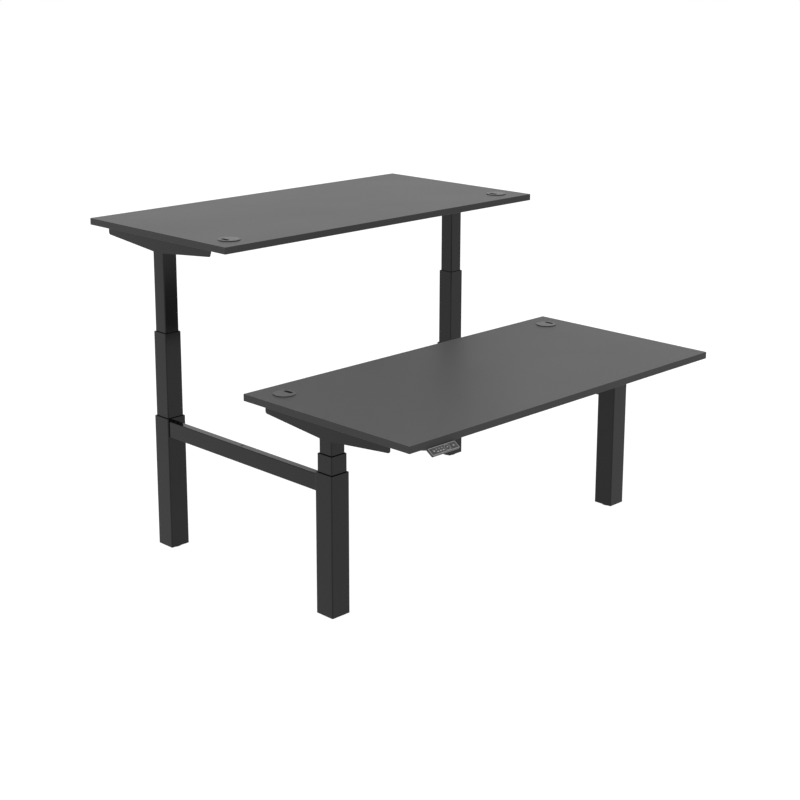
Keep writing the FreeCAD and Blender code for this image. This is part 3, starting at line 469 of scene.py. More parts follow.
class GeometryTree(NodeTree):
    """A Geometry Nodes tree with named inputs, built here and run on carrier points."""

    def __init__(self, name: str) -> None:
        """Starts an empty tree.

        Args:
            name: the tree's name.
        """
        self.tree = bpy.data.node_groups.new(name, "GeometryNodeTree")
        for way in ("INPUT", "OUTPUT"):
            self.tree.interface.new_socket("Geometry", in_out=way, socket_type="NodeSocketGeometry")
        self.entry = self.tree.nodes.new("NodeGroupInput")
        self.exit = self.tree.nodes.new("NodeGroupOutput")
        self.identifiers: dict[str, str] = {}

    def size(self, name: str, kind: str = "NodeSocketFloat") -> Socket:
        """Adds a named size to the tree's inputs, and gives its socket."""
        item = self.tree.interface.new_socket(name, in_out="INPUT", socket_type=kind)
        self.identifiers[name] = item.identifier
        return self.entry.outputs[name]

    def sizes(self, *names: str) -> list[Socket]:
        """Adds several named sizes."""
        return [self.size(name) for name in names]

    def count(self, name: str) -> Socket:
        """Adds a named whole number."""
        return self.size(name, "NodeSocketInt")

    def vector(self, x: SizeValue, y: SizeValue, z: SizeValue) -> Socket:
        """A vector of three values."""
        return self.add("ShaderNodeCombineXYZ", {"X": x, "Y": y, "Z": z}).outputs["Vector"]

    def spots(self) -> tuple[Socket, Socket, Socket]:
        """X, Y and Z of each point that a node works on."""
        here = self.add("GeometryNodeInputPosition").outputs["Position"]
        parts = self.add("ShaderNodeSeparateXYZ", {"Vector": here}).outputs
        return parts["X"], parts["Y"], parts["Z"]

    def moved(self, shape: Socket, x: SizeValue, y: SizeValue, z: SizeValue) -> Socket:
        """A shape moved as a whole."""
        return self.add(
            "GeometryNodeTransform", {"Geometry": shape, "Translation": self.vector(x, y, z)}
        ).outputs["Geometry"]

    def joined(self, *shapes: Socket) -> Socket:
        """Several shapes as one."""
        node = self.add("GeometryNodeJoinGeometry")
        for shape in shapes:
            self.join(shape, node.inputs["Geometry"])
        return node.outputs["Geometry"]

    def bar(self, x: SizeValue, y: SizeValue, z: SizeValue) -> Socket:
        """A block of this size round its centre."""
        return self.add("GeometryNodeMeshCube", {"Size": self.vector(x, y, z)}).outputs["Mesh"]

    def rod(
        self, width: SizeValue, length: SizeValue, sides: SizeValue = 32, rows: SizeValue = 1,
        rings: int = 1,
    ) -> Socket:
        """An upright round rod round its centre.

        Args:
            width: its diameter.
            length: its length.
            sides: how many faces go round it.
            rows: how many rows of faces it has along its length.
            rings: how many rings of faces each end has.

        Returns:
            The rod's mesh.
        """
        return self.add("GeometryNodeMeshCylinder", {
            "Vertices": sides, "Side Segments": rows, "Fill Segments": rings,
            "Radius": self.times(width, 0.5), "Depth": length}).outputs["Mesh"]

    def at_points(
        self, shape: Socket, aimed: bool = False, points: Socket | None = None
    ) -> Socket:
        """A copy of a shape at each point.

        Args:
            shape: what is copied.
            aimed: True where each point says which way the shape's Z goes, as "aim".
            points: the points, or None for the carrier's own.

        Returns:
            The copies, still as instances.
        """
        inputs = {"Points": points or self.entry.outputs["Geometry"], "Instance": shape}
        if aimed:
            aim = self.add("GeometryNodeInputNamedAttribute", {"Name": "aim"}, data_type="FLOAT_VECTOR")
            inputs["Rotation"] = self.add(
                "FunctionNodeAlignRotationToVector", {"Vector": aim.outputs["Attribute"]}, axis="Z"
            ).outputs["Rotation"]
        return self.add("GeometryNodeInstanceOnPoints", inputs).outputs["Instances"]

    def close(self, shape: Socket, finish: Finish) -> None:
        """Ends the tree: every instance made real, in one finish."""
        real = self.add("GeometryNodeRealizeInstances", {"Geometry": shape}).outputs["Geometry"]
        painted = self.add(
            "GeometryNodeSetMaterial", {"Geometry": real, "Material": finish.material()})
        self.join(painted.outputs["Geometry"], self.exit.inputs["Geometry"])

    def run(
        self, name: str, points: list[Point], sizes: dict[str, float | int],
        aims: list[Point] | None = None,
    ) -> bpy.types.Object:
        """Runs the tree and keeps its result as a plain mesh.

        Args:
            name: the piece's name.
            points: the carrier's points.
            sizes: a value for each named input.
            aims: the direction of each point's copy.

        Returns:
            The piece, with no modifier left on it.
        """
        carrier = bpy.data.meshes.new(f"{name}_points")
        carrier.from_pydata(points, [], [])
        if aims:
            aim = carrier.attributes.new("aim", "FLOAT_VECTOR", "POINT")
            aim.data.foreach_set("vector", [part for way in aims for part in way])
        piece = bpy.data.objects.new(name, carrier)
        bpy.context.scene.collection.objects.link(piece)
        build = piece.modifiers.new("build", "NODES")
        build.node_group = self.tree
        for label, value in sizes.items():
            build[self.identifiers[label]] = value
        bpy.context.view_layer.update()
        graph = bpy.context.evaluated_depsgraph_get()
        shape = bpy.data.meshes.new_from_object(piece.evaluated_get(graph), depsgraph=graph)
        piece.modifiers.remove(build)
        piece.data = shape
        smooth(shape)
        return piece


def smooth(shape: bpy.types.Mesh, angle: float = 35.0) -> None:
    """Shades a mesh smooth, but crisp where its faces meet more sharply than this angle."""
    shape.shade_smooth()
    shape.set_sharp_from_angle(angle=math.radians(angle))


def new_piece(name: str, shape: bmesh.types.BMesh) -> bpy.types.Object:
    """Makes an object of a mesh that is already in place.

    Args:
        name: the piece's name.
        shape: its mesh, which is freed.

    Returns:
        The object, at the origin.
    """
    mesh = bpy.data.meshes.new(name)
    bmesh.ops.recalc_face_normals(shape, faces=shape.faces[:])
    shape.to_mesh(mesh)
    shape.free()
    smooth(mesh)
    piece = bpy.data.objects.new(name, mesh)
    bpy.context.scene.collection.objects.link(piece)
    return piece


def settle(piece: bpy.types.Object, body: str, slot: str, *nodes: str) -> None:
    """Hangs a finished piece on its body and reports it.

    Args:
        piece: the piece, in place.
        body: the CAD body that it moves with.
        slot: the record's material slot of its finish; not used.
        nodes: the CAD nodes that it stands for, if any.
    """
    if nodes:
        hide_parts(*nodes)
    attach(piece, body)
    LOG.info("%s: %d faces, rides on %s", piece.name, len(piece.data.polygons), body)


# ---- fasteners -------------------------------------------------------------------------------


@dataclass
class Screw:
    """One kind of screw with a domed head, set wherever its kind is used.

    Attributes:
        kind: the kind's name.
        head_width: diameter of the head.
        head_height: height of the head at its middle.
        dome: how much lower the head's rim is.
        width: diameter of the shank.
        length: length of the shank.
        recess: the driver's recess.
        recess_width: width of the recess.
        recess_depth: depth of the recess.
        wing: width of a cross recess's wing, to the recess's own width.
        dome_power: how late the dome falls off towards the rim.
    """

    kind: str
    head_width: float
    head_height: float
    dome: float
    width: float
    length: float
    recess: Recess
    recess_width: float
    recess_depth: float
    wing: float = 0.24
    dome_power: float = 3.0

    def cutter(self, tree: GeometryTree, width: SizeValue, depth: SizeValue) -> list[Socket]:
        """The solids that cut the driver's recess, round the head's middle."""
        if self.recess is Recess.HEX:
            return [tree.rod(width, depth, sides=self.recess.value)]
        wing = tree.times(width, self.wing)
        return [tree.bar(width, wing, depth), tree.bar(wing, width, depth)]

    def tree(self) -> GeometryTree:
        """The Geometry Nodes tree of this kind of screw.

        Returns:
            A tree that sets one screw on each point, along its aim.
        """
        tree = GeometryTree(f"{self.kind}_tree")
        head_width, head_height, dome = tree.sizes("Head Width", "Head Height", "Dome")
        width, length = tree.sizes("Shank Width", "Shank Length")
        cut_width, cut_depth = tree.sizes("Recess Width", "Recess Depth")
        half = tree.times(head_height, 0.5)
        head = tree.moved(tree.rod(head_width, head_height, rows=2, rings=5), 0.0, 0.0, half)
        x, y, z = tree.spots()
        radius = tree.times(head_width, 0.5)
        out = tree.maths("DIVIDE", tree.maths("SQRT", tree.maths(
            "ADD", tree.times(x, x), tree.times(y, y))), radius)
        drop = tree.times(tree.maths("POWER", out, self.dome_power), dome)
        upper = tree.add(
            "FunctionNodeCompare", {0: z, 1: half}, data_type="FLOAT", operation="GREATER_THAN")
        domed = tree.add("GeometryNodeSetPosition", {
            "Geometry": head, "Selection": upper.outputs["Result"],
            "Offset": tree.vector(0.0, 0.0, tree.times(drop, -1.0))})
        carve = tree.add(
            "GeometryNodeMeshBoolean", {"Mesh 1": domed.outputs["Geometry"]}, operation="DIFFERENCE",
            solver="EXACT")
        for solid in self.cutter(tree, cut_width, tree.times(cut_depth, 2.0)):
            tree.join(tree.moved(solid, 0.0, 0.0, head_height), carve.inputs["Mesh 2"])
        shank = tree.moved(
            tree.rod(width, length, sides=16), 0.0, 0.0, tree.times(length, -0.5))
        screw = tree.joined(carve.outputs["Mesh"], shank)
        tree.close(tree.at_points(screw, aimed=True), BLACK_ZINC)
        return tree

    def fit(self, name: str, body: str, seats: list[Point], aims: list[Point], node: str) -> None:
        """Sets a screw on each seat, in place of a CAD node.

        Args:
            name: the piece's name.
            body: the body that the screws hold to.
            seats: the middle of each head's lower face.
            aims: the way that each head points.
            node: the CAD node that the screws stand for.
        """
        sizes = {
            "Head Width": self.head_width, "Head Height": self.head_height, "Dome": self.dome,
            "Shank Width": self.width, "Shank Length": self.length,
            "Recess Width": self.recess_width, "Recess Depth": self.recess_depth}
        settle(self.tree().run(name, seats, sizes, aims), body, BLACK_ZINC.slot, node)


# ---- the frame under both desks --------------------------------------------------------------


@dataclass
class BaseFrame:
    """What stands on the floor: the outer columns, their feet and the crossbeams' screws.

    Attributes:
        beam_inner: crossbeam's inner side from the middle, along X.
        screw_reach: crossbeam screws from the middle, along Y.
        screw_middle: height of the middle between a pair of them.
        screw_spacing: between the two screws of a pair.
        foot_width: diameter of a foot's disc.
        foot_height: height of the disc.
        grip_count: grip ribs round a foot.
        grip_size: a rib's width, reach and height.
    """

    beam_inner: float = 0.761
    screw_reach: float = 0.36
    screw_middle: float = 0.469
    screw_spacing: float = 0.03
    foot_width: float = 0.058
    foot_height: float = 0.0075
    grip_count: int = 40
    grip_size: Point = (0.0014, 0.0016, 0.0042)
    beam_screw: Screw = field(default_factory=lambda: Screw(
        "beam_screw", 0.011, 0.004, 0.0016, 0.006, 0.0064, Recess.HEX, 0.0046, 0.0022))

    def fit_beam_screws(self) -> None:
        """Sets the two hex screws at each end of both crossbeams."""
        highs = [self.screw_middle + way * self.screw_spacing / 2 for way in (-1, 1)]
        spots = [(side, end, high) for side in (-1, 1) for end in (-1, 1) for high in highs]
        seats = [(i * self.beam_inner, j * self.screw_reach, high) for i, j, high in spots]
        aims = [(-spot[0], 0.0, 0.0) for spot in spots]
        self.beam_screw.fit("crossbeam_hex_screws", "frame", seats, aims, "crossbeam_screws")

    def fit_foot_grips(self) -> None:
        """Sets the grip ribs round the disc of each levelling foot."""
        tree = GeometryTree("foot_grip_tree")
        count, ring = tree.count("Count"), tree.size("Ring Width")
        width, reach, height = tree.sizes("Width", "Reach", "Height")
        circle = tree.add("GeometryNodeMeshCircle", {
            "Vertices": count, "Radius": tree.times(ring, 0.5)}).outputs["Mesh"]
        here = tree.add("GeometryNodeInputPosition").outputs["Position"]
        outward = tree.add("FunctionNodeAlignRotationToVector", {"Vector": here}, axis="X")
        ribs = tree.add("GeometryNodeInstanceOnPoints", {
            "Points": circle, "Instance": tree.bar(reach, width, height),
            "Rotation": outward.outputs["Rotation"]}).outputs["Instances"]
        tree.close(tree.at_points(ribs), FOOT_NYLON)
        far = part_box("levelling_feet")[1]
        across, along = far.x - self.foot_width / 2, far.y - self.foot_width / 2
        points = [
            (i * across, j * along, self.foot_height / 2) for i in (-1, 1) for j in (-1, 1)]
        sizes = dict(zip(("Width", "Reach", "Height"), self.grip_size))
        piece = tree.run(
            "foot_grips", points, {"Count": self.grip_count, "Ring Width": self.foot_width, **sizes})
        settle(piece, "frame", FOOT_NYLON.slot)

    def build(self) -> None:
        """Makes the frame's own fittings."""
        self.fit_beam_screws()
        self.fit_foot_grips()


# ---- one column's mechanism ------------------------------------------------------------------


@dataclass
class DriveScrew:
    """A rolled drive screw with its thread cut, turning as its desk rises.

    Attributes:
        lead: rise of the thread in one turn.
        depth: depth of the thread.
        journal_width: diameter of its plain upper end.
        journal_length: length of its plain upper end.
        flank: how steep the thread's flanks are.
        rows_per_turn: rows of faces to one turn.
        sides: faces round the screw.
    """

    lead: float = 0.0096
    depth: float = 0.0011
    journal_width: float = 0.012
    journal_length: float = 0.02
    flank: float = 6.0
    rows_per_turn: int = 8
    sides: int = 24

    def tree(self) -> GeometryTree:
        """A tree that cuts a thread on a rod by the rule of its helix.

        Returns:
            The tree, which sets a threaded rod on each point.
        """
        tree = GeometryTree("drive_screw_tree")
        width, length, lead = tree.sizes("Width", "Length", "Lead")
        depth, rows = tree.size("Thread Depth"), tree.count("Rows")
        neck, neck_length = tree.sizes("Journal Width", "Journal Length")
        rod = tree.rod(width, length, sides=self.sides, rows=rows)
        x, y, z = tree.spots()
        turns = tree.maths("DIVIDE", tree.maths("ARCTAN2", y, x), 2 * math.pi)
        phase = tree.maths("FRACT", tree.maths("SUBTRACT", tree.maths("DIVIDE", z, lead), turns))
        away = tree.maths("ABSOLUTE", tree.maths("SUBTRACT", phase, 0.5))
        groove = tree.maths("SUBTRACT", tree.times(away, self.flank), 1.0)
        held = tree.add("ShaderNodeClamp", {"Value": groove}).outputs["Result"]
        radius = tree.times(width, 0.5)
        shrink = tree.maths("SUBTRACT", 1.0, tree.maths(
            "MULTIPLY", held, tree.maths("DIVIDE", depth, radius)))
        cut = tree.add("GeometryNodeSetPosition", {"Geometry": rod, "Position": tree.vector(
            tree.times(x, shrink), tree.times(y, shrink), z)})
        half = tree.times(tree.maths("ADD", length, neck_length), 0.5)
        journal = tree.moved(tree.rod(neck, neck_length, sides=self.sides), 0.0, 0.0, half)
        tree.close(tree.at_points(tree.joined(cut.outputs["Geometry"], journal)), ROLLED_STEEL)
        return tree

    def build(self) -> None:
        """Makes the drive screw of every column, each on its own body."""
        tree = self.tree()
        for node in sorted(name for name in frame["nodes"] if name.startswith("drive_screw_")):
            low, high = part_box(node)
            length = high.z - low.z - self.journal_length
            middle = ((low.x + high.x) / 2, (low.y + high.y) / 2, low.z + length / 2)
            piece = tree.run(f"{node}_threaded", [middle], {
                "Width": high.x - low.x, "Length": length, "Lead": self.lead,
                "Thread Depth": self.depth, "Rows": round(length / self.lead * self.rows_per_turn),
                "Journal Width": self.journal_width, "Journal Length": self.journal_length})
            settle(piece, node, ROLLED_STEEL.slot, node)


# ---- one desk --------------------------------------------------------------------------------


@dataclass
class Handset:
    """The sloping key panel under a desk's edge, with its bezel, marks and key arrows.

    Attributes:
        middle: panel's middle from the desktop's middle, along X.
        lip: face's upper edge, across the pair.
        tilt: slope of the face, in degrees.
        length: length of the panel.
        face: height of the face down its slope.
        bezel: width of the bezel along the face's edges.
        inset: from the face's edges to the bezel.
        rise: how far the bezel stands proud.
        root: how far a rim starts under the face.
        corner: the bezel's outer corner radius.
        ring: outer half height of the round key's ring.
        ring_stretch: how much longer than high half of the ring is.
        ring_width: width of the ring's band.
        marks: the small marks' places along the panel.
        mark_rows: each row's place down the slope, and a mark's length and width.
        mark_height: height of a mark from its start.
        store: the round key's place along the panel.
        dot_size: the round key's dot: its length, width and height.
        key_face: height of the keys' faces off the panel, less the print's own sink.
        arrows: each square key's place along the panel and the way that its arrow points.
        arrow_reach: half an arrow's length.
        arrow_drop: half its height.
        arrow_thick: thickness of its strokes.
        arrow_top: height of its face off the panel.
    """

    middle: float = -0.662
    lip: float = -0.843
    tilt: float = 34.0
    length: float = 0.124
    face: float = 0.03
    bezel: float = 0.0026
    inset: float = 0.0003
    rise: float = 0.0004
    root: float = 0.0002
    corner: float = 0.003
    ring: float = 0.0112
    ring_stretch: float = 0.0014
    ring_width: float = 0.0019
    marks: tuple[float, ...] = (-0.0298, -0.0174, -0.005)
    mark_rows: dict[str, Point] = field(default_factory=lambda: {
        "level_marks": (-0.0195, 0.0078, 0.0029), "memory_marks": (-0.0098, 0.0044, 0.0026)})
    mark_height: float = 0.00022
    store: float = 0.016
    dot_size: Point = (0.0056, 0.0024, 0.0002)
    key_face: float = 0.0006
    arrows: dict[str, tuple[float, float]] = field(
        default_factory=lambda: {"key_down": (-0.044, -1.0), "key_up": (0.044, 1.0)})
    arrow_reach: float = 0.0046
    arrow_drop: float = 0.0022
    arrow_thick: float = 0.0019
    arrow_top: float = 0.00078

    def pose(self, desk: Desk) -> Matrix:
        """The panel's own frame in the row frame: X along it, Y up its slope, Z off its face."""
        here = Matrix.Translation((self.middle, self.lip, desk.under))
        return desk.turn @ here @ Matrix.Rotation(math.radians(self.tilt), 4, "X")

    def loop(
        self, half_x: float, half_y: float, corner: float, steps: int = 6
    ) -> list[tuple[float, float]]:
        """Points round a rounded rectangle.

        Args:
            half_x: half its length.
            half_y: half its height.
            corner: its corner radius.
            steps: sides to each corner.

        Returns:
            The points in order.
        """
        points = []
        for quarter in range(4):
            sx, sy = ((1, 1), (-1, 1), (-1, -1), (1, -1))[quarter]
            for step in range(steps + 1):
                angle = math.pi / 2 * (quarter + step / steps)
                points.append((
                    sx * (half_x - corner) + corner * math.cos(angle),
                    sy * (half_y - corner) + corner * math.sin(angle)))
        return points

    def band(
        self, rings: list[tuple[float, float, float, float]], centre: tuple[float, float]
    ) -> bmesh.types.BMesh:
        """A closed band that follows rounded rectangles, from the first ring to the last and back.

        Args:
            rings: half length, half height, corner radius and level of each ring.
            centre: the rings' middle on the face.

        Returns:
            The band's mesh in the panel's frame.
        """
        shape = bmesh.new()
        loops = [
            [
                shape.verts.new((centre[0] + x, centre[1] + y, level))
                for x, y in self.loop(half_x, half_y, corner)
            ]
            for half_x, half_y, corner, level in rings
        ]
        for here, there in zip(loops, loops[1:] + loops[:1]):
            self.skirt(shape, here, there)
        return shape

    def skirt(self, shape: bmesh.types.BMesh, here: Corners, there: Corners) -> None:
        """Faces that join one ring of corners to the next."""
        for corners in zip(here, here[1:] + here[:1], there[1:] + there[:1], there):
            shape.faces.new(corners)

    def fix(
        self, desk: Desk, body: str, name: str, shape: bmesh.types.BMesh, finish: Finish
    ) -> None:
        """Puts a piece made in the panel's frame in its place on a body."""
        bmesh.ops.transform(shape, matrix=self.pose(desk), verts=shape.verts[:])
        settle(finish.dress(new_piece(f"{desk.label}_{name}", shape)), body, finish.slot)

    def rim(
        self, desk: Desk, name: str, half: tuple[float, float], corner: float, width: float,
        middle: float,
    ) -> None:
        """A thin raised rim on the panel's face.

        Args:
            desk: the desk that the panel hangs under.
            name: the piece's name after the desk's.
            half: half the rim's outer length and height.
            corner: its outer corner radius.
            width: its width.
            middle: its place along the panel.
        """
        slope, shoulder = width * 0.25, self.rise * 0.4
        inner = max(corner - width, 0.0004)
        steps = (
            (0.0, corner, -self.root), (0.0, corner, shoulder), (slope, corner - slope, self.rise),
            (width - slope, inner + slope, self.rise), (width, inner, shoulder),
            (width, inner, -self.root))
        rings = [(half[0] - back, half[1] - back, bend, level) for back, bend, level in steps]
        shape = self.band(rings, (middle, -self.face / 2))
        self.fix(desk, desk.body, name, shape, BEZEL_GREY)

    def arrow(self, desk: Desk, key: str, x: float, way: float) -> None:
        """A chevron printed on a square key.

        Args:
            desk: the desk that the key belongs to.
            key: the key's name.
            x: the key's place along the panel.
            way: 1 where it points up the slope, -1 down.
        """
        reach, drop, thick = self.arrow_reach, self.arrow_drop, self.arrow_thick
        row = -self.face / 2
        outline = [
            (-reach, -drop), (-reach + thick * 0.7, -drop - thick * 0.7), (0, drop - thick * 1.2),
            (reach - thick * 0.7, -drop - thick * 0.7), (reach, -drop), (0, drop + thick * 0.6)]
        shape = bmesh.new()
        rings = [
            [shape.verts.new((x + px, row + way * py, level)) for px, py in outline]
            for level in (self.key_face, self.arrow_top)
        ]
        for side in rings:
            shape.faces.new((side[0], side[1], side[2], side[5]))
            shape.faces.new((side[2], side[3], side[4], side[5]))
        self.skirt(shape, *rings)
        self.fix(desk, f"{desk.label}_{key}", f"{key}_arrow", shape, MARK_PRINT)

    def pill_tree(self) -> GeometryTree:
        """A tree that sets one flat pill on each point, to be placed by the panel's frame.

        Returns:
            The tree, with its sizes as inputs.
        """
        tree = GeometryTree("handset_mark_tree")
        length, width, height = tree.sizes("Length", "Width", "Height")
        outline = tree.add(
            "GeometryNodeCurvePrimitiveQuadrilateral", {"Width": length, "Height": width})
        rounded = tree.add("GeometryNodeFilletCurve", {
            "Curve": outline.outputs["Curve"], "Count": 5, "Limit Radius": True,
            "Radius": tree.times(width, 0.5)}, mode="POLY")
        flat = tree.add("GeometryNodeFillCurve", {"Curve": rounded.outputs["Curve"]}, mode="NGONS")
        raised = tree.add("GeometryNodeExtrudeMesh", {
            "Mesh": flat.outputs["Mesh"], "Offset Scale": height}, mode="FACES")
        base = tree.add("GeometryNodeFlipFaces", {"Mesh": flat.outputs["Mesh"]}).outputs["Mesh"]
        pill = tree.add("GeometryNodeMergeByDistance", {
            "Geometry": tree.joined(raised.outputs["Mesh"], base), "Distance": 0.000001})
        tree.close(tree.at_points(pill.outputs["Geometry"]), MARK_PRINT)
        return tree

    def print_marks(self, desk: Desk, tree: GeometryTree) -> None:
        """The two rows of small marks beside the round key, and the round key's dot.

        Args:
            desk: the desk that the panel hangs under.
            tree: the marks' tree.
        """
        prints = [
            (name, desk.body, [(x, row, -PRINT_SINK) for x in self.marks],
             (length, width, self.mark_height))
            for name, (row, length, width) in self.mark_rows.items()]
        dot = [(self.store, -self.face / 2, self.key_face)]
        prints.append(("key_store_dot", f"{desk.label}_key_store", dot, self.dot_size))
        for name, body, points, size in prints:
            sizes = dict(zip(("Length", "Width", "Height"), size))
            piece = tree.run(f"{desk.label}_{name}", points, sizes)
            piece.data.transform(self.pose(desk))
            settle(piece, body, MARK_PRINT.slot)

    def build(self, desk: Desk, marks: GeometryTree) -> None:
        """Makes what is printed on and fixed to one panel.

        Args:
            desk: the desk that it hangs under.
            marks: the tree of the small marks.
        """
        half = (self.length / 2 - self.inset, self.face / 2 - self.inset)
        self.rim(desk, "handset_bezel", half, self.corner, self.bezel, 0.0)
        half = (self.ring + self.ring_stretch, self.ring)
        self.rim(desk, "store_key_ring", half, self.ring - 0.0001, self.ring_width, self.store)
        for key, (x, way) in self.arrows.items():
            self.arrow(desk, key, x, way)
        self.print_marks(desk, marks)


@dataclass
class DeskTop:
    """What rises with one desktop: its screws, its control box's ribs and its handset.

    Attributes:
        column: column's centre from the middle, along X and Y.
        arm_screw_reach: arm screws from the column's centre, along Y.
        sheet: thickness of the support arm's sheet and of an ear.
        box_middle: control box's centre, along X.
        box_size: control box's length, width and depth.
        ear: length of the ear at each end of the control box.
        bolt_half: head bolts from the column's centre.
        lug_screws: handset's screws, along X and across.
        rib_count: ribs under the control box.
        rib_size: a rib's width, length and height.
        rib_margin: plain length of the box's underside, both ends together.
    """

    column: tuple[float, float] = (0.756, -0.44)
    arm_screw_reach: tuple[float, ...] = (-0.25, -0.11, 0.11, 0.25)
    sheet: tuple[float, float] = (0.0025, 0.003)
    box_middle: float = -0.25
    box_size: Point = (0.26, 0.11, 0.036)
    ear: float = 0.02
    bolt_half: float = 0.018
    lug_screws: tuple[float, float, float] = (-0.693, -0.631, -0.77)
    rib_count: int = 17
    rib_size: Point = (0.0022, 0.07, 0.0012)
    rib_margin: float = 0.03
    wood_screw: Screw = field(default_factory=lambda: Screw(
        "wood_screw", 0.009, 0.0025, 0.0011, 0.004, 0.0184, Recess.CROSS, 0.0046, 0.0013))
    head_bolt: Screw = field(default_factory=lambda: Screw(
        "head_bolt", 0.011, 0.004, 0.0006, 0.006, 0.0109, Recess.HEX, 0.0058, 0.0024))
    handset: Handset = field(default_factory=Handset)

    def fit_wood_screws(self, desk: Desk) -> None:
        """Sets the screws that go up into the desktop.

        Args:
            desk: the desk that it belongs to.
        """
        x, y = self.column
        seats = [
            desk.place(side * x, y + reach, desk.under - self.sheet[0])
            for side in (-1, 1) for reach in self.arm_screw_reach]
        ear = (self.box_size[0] + self.ear) / 2
        low = desk.under - self.sheet[1]
        seats += [desk.place(self.box_middle + way * ear, y, low) for way in (-1, 1)]
        seats += [desk.place(spot, self.lug_screws[2], low) for spot in self.lug_screws[:2]]
        aims = [(0.0, 0.0, -1.0)] * len(seats)
        name = f"{desk.label}_wood_screws"
        self.wood_screw.fit(f"{desk.label}_cross_screws", desk.body, seats, aims, name)

    def fit_head_bolts(self, desk: Desk) -> None:
        """Sets the bolts that hold each arm's saddle to its column.

        Args:
            desk: the desk that it belongs to.
        """
        node = f"{desk.label}_head_bolts"
        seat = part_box(node)[1].z - self.head_bolt.head_height
        x, y = self.column
        seats = [
            desk.place(side * x + i * self.bolt_half, y + j * self.bolt_half, seat)
            for side in (-1, 1) for i in (-1, 1) for j in (-1, 1)]
        aims = [(0.0, 0.0, 1.0)] * len(seats)
        self.head_bolt.fit(f"{desk.label}_saddle_bolts", desk.body, seats, aims, node)

    def rib_tree(self) -> GeometryTree:
        """A tree that sets a row of ribs on each point.

        Returns:
            The tree, with its sizes as inputs.
        """
        tree = GeometryTree("case_rib_tree")
        count, pitch = tree.count("Count"), tree.size("Pitch")
        width, length, height = tree.sizes("Width", "Length", "Height")
        span = tree.times(pitch, tree.maths("SUBTRACT", count, 1.0))
        row = tree.add("GeometryNodeMeshLine", {
            "Count": count, "Offset": tree.vector(pitch, 0.0, 0.0),
            "Start Location": tree.vector(tree.times(span, -0.5), 0.0, 0.0)}, mode="OFFSET")
        solids = [
            tree.moved(
                tree.rod(width, height, sides=10), 0.0, tree.times(length, end), 0.0)
            for end in (0.5, -0.5)]
        whole = tree.add("GeometryNodeMeshBoolean", operation="UNION", solver="EXACT")
        for solid in (tree.bar(width, length, height), *solids):
            tree.join(solid, whole.inputs["Mesh 2"])
        ribs = tree.at_points(whole.outputs["Mesh"], points=row.outputs["Mesh"])
        tree.close(tree.at_points(ribs), CASE_PLASTIC)
        return tree

    def fit_ribs(self, desk: Desk, tree: GeometryTree) -> None:
        """Sets the ribs under the control box.

        Args:
            desk: the desk that it belongs to.
            tree: the ribs' tree.
        """
        width, length, height = self.rib_size
        low = desk.under - self.box_size[2]
        pitch = (self.box_size[0] - self.rib_margin) / (self.rib_count - 1)
        piece = tree.run(
            f"{desk.label}_control_box_ribs",
            [desk.place(self.box_middle, self.column[1], low - height * 0.4)],
            {"Count": self.rib_count, "Pitch": pitch, "Width": width, "Length": length,
             "Height": height})
        settle(piece, desk.body, CASE_PLASTIC.slot)

    def build(self, desk: Desk, ribs: GeometryTree, marks: GeometryTree) -> None:
        """Makes the fittings of one desk.

        Args:
            desk: which desk.
            ribs: the tree of the control box's ribs.
            marks: the tree of the handset's marks.
        """
        self.fit_wood_screws(desk)
        self.fit_head_bolts(desk)
        self.fit_ribs(desk, ribs)
        self.handset.build(desk, marks)


# ---- studio ----------------------------------------------------------------------------------


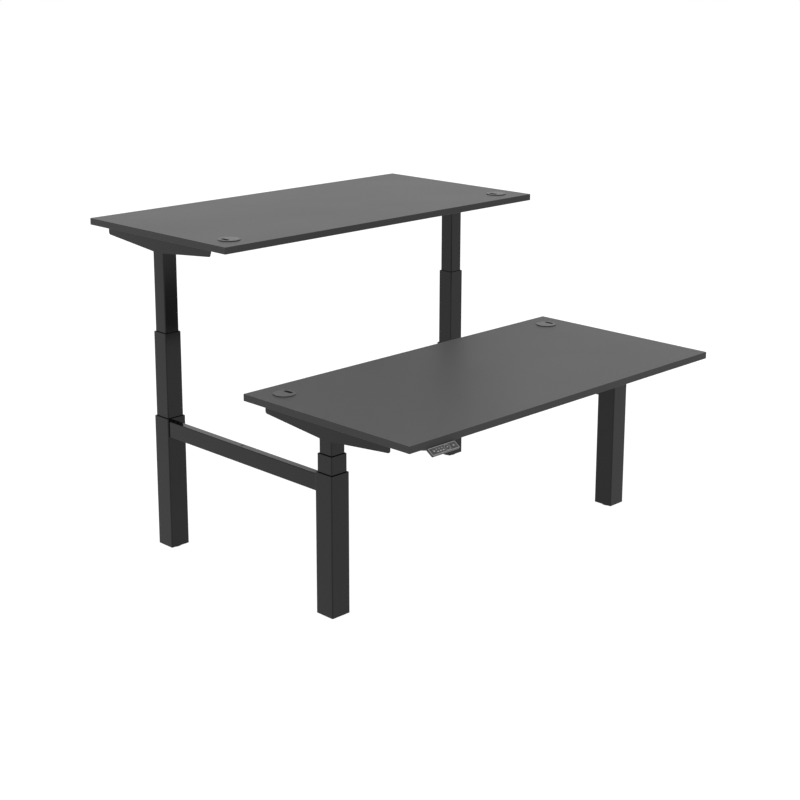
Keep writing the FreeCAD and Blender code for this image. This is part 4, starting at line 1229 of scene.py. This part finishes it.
@dataclass
class Studio:
    """The pale floor, the soft light and the camera.

    Attributes:
        spot: the camera's place.
        azimuth: its way round the pair, in degrees.
        pitch: how far it looks down, in degrees.
        lens: focal length over a 36 mm sensor.
        shift: the lens's shift across and up.
        floor_half: half the floor's width.
        floor_drop: how far the floor lies under the feet.
        glow: the floor's own light.
        air: the white room's light.
    """

    spot: Point = (-4.08968, -4.06173, 2.23876)
    azimuth: float = -44.62
    pitch: float = 13.29
    lens: float = 70.685
    shift: tuple[float, float] = (0.02, -0.12)
    floor_half: float = 40.0
    floor_drop: float = 0.0002
    glow: float = 1.0
    air: float = 1.0

    def lay_floor(self) -> None:
        """Lays a plain white floor that is lit as evenly as the room."""
        half = self.floor_half
        shape = bmesh.new()
        corners = [(-half, -half), (half, -half), (half, half), (-half, half)]
        shape.faces.new([shape.verts.new((x, y, -self.floor_drop)) for x, y in corners])
        mesh = bpy.data.meshes.new("floor")
        shape.to_mesh(mesh)
        shape.free()
        floor = bpy.data.objects.new("floor", mesh)
        bpy.context.scene.collection.objects.link(floor)
        graph = ShaderGraph("pale_floor")
        clouds = graph.ramp(graph.noise(0.8, 2.0), grey(0.1), grey(0.12))
        graph.join(clouds, graph.shader.inputs["Base Color"])
        settings = {
            "Roughness": 1.0, "Specular IOR Level": 0.0, "Emission Color": (1.0, 1.0, 1.0, 1.0),
            "Emission Strength": self.glow}
        for name, value in settings.items():
            graph.shader.inputs[name].default_value = value
        self.open_below(graph)
        floor.data.materials.append(graph.material)

    def open_below(self, graph: ShaderGraph) -> None:
        """Leaves the floor's underside clear, so that the feet can be seen from underneath."""
        mix = graph.add("ShaderNodeMixShader", {
            0: graph.add("ShaderNodeNewGeometry").outputs["Backfacing"],
            1: graph.shader.outputs["BSDF"],
            2: graph.add("ShaderNodeBsdfTransparent").outputs["BSDF"]})
        graph.join(mix.outputs["Shader"], graph.tree.nodes["Material Output"].inputs["Surface"])

    def light(self) -> None:
        """Fills the room with even white light."""
        world = bpy.data.worlds.new("white_room")
        world.use_nodes = True
        sky = world.node_tree.nodes["Background"]
        sky.inputs["Color"].default_value = (1.0, 1.0, 1.0, 1.0)
        sky.inputs["Strength"].default_value = self.air
        bpy.context.scene.world = world

    def set_camera(self) -> None:
        """Sets the camera."""
        around, down = math.radians(self.azimuth), math.radians(self.pitch)
        back = Vector((
            math.sin(around) * math.cos(down), -math.cos(around) * math.cos(down), math.sin(down)))
        data = bpy.data.cameras.new("camera")
        data.lens = self.lens
        data.sensor_width = 36.0
        data.shift_x, data.shift_y = self.shift
        camera = bpy.data.objects.new("camera", data)
        camera.location = self.spot
        camera.rotation_mode = "QUATERNION"
        camera.rotation_quaternion = (-back).to_track_quat("-Z", "Y")
        bpy.context.scene.collection.objects.link(camera)
        bpy.context.scene.camera = camera

    def build(self) -> None:
        """Makes the studio."""
        self.lay_floor()
        self.light()
        self.set_camera()
        bpy.context.scene.view_settings.view_transform = "Standard"


def dress_nodes() -> None:
    """Gives every CAD node the finish of its material slot."""
    for part in frame["record"]["subparts"]:
        finish = NODE_FINISHES.get(part["node"], SLOT_FINISHES[part["material_slot"]])
        finish.dress(frame["nodes"][part["node"]])
        LOG.info("%s: %s", part["node"], finish.name)


def main() -> None:
    """Builds the scene, one class after another."""
    logging.basicConfig(level=logging.INFO, format="%(name)s: %(message)s")
    dress_nodes()
    BaseFrame().build()
    DriveScrew().build()
    top = DeskTop()
    ribs, marks = top.rib_tree(), top.handset.pill_tree()
    for desk in Desk:
        top.build(desk, ribs, marks)
    Studio().build()


if __name__ == "__main__":
    main()
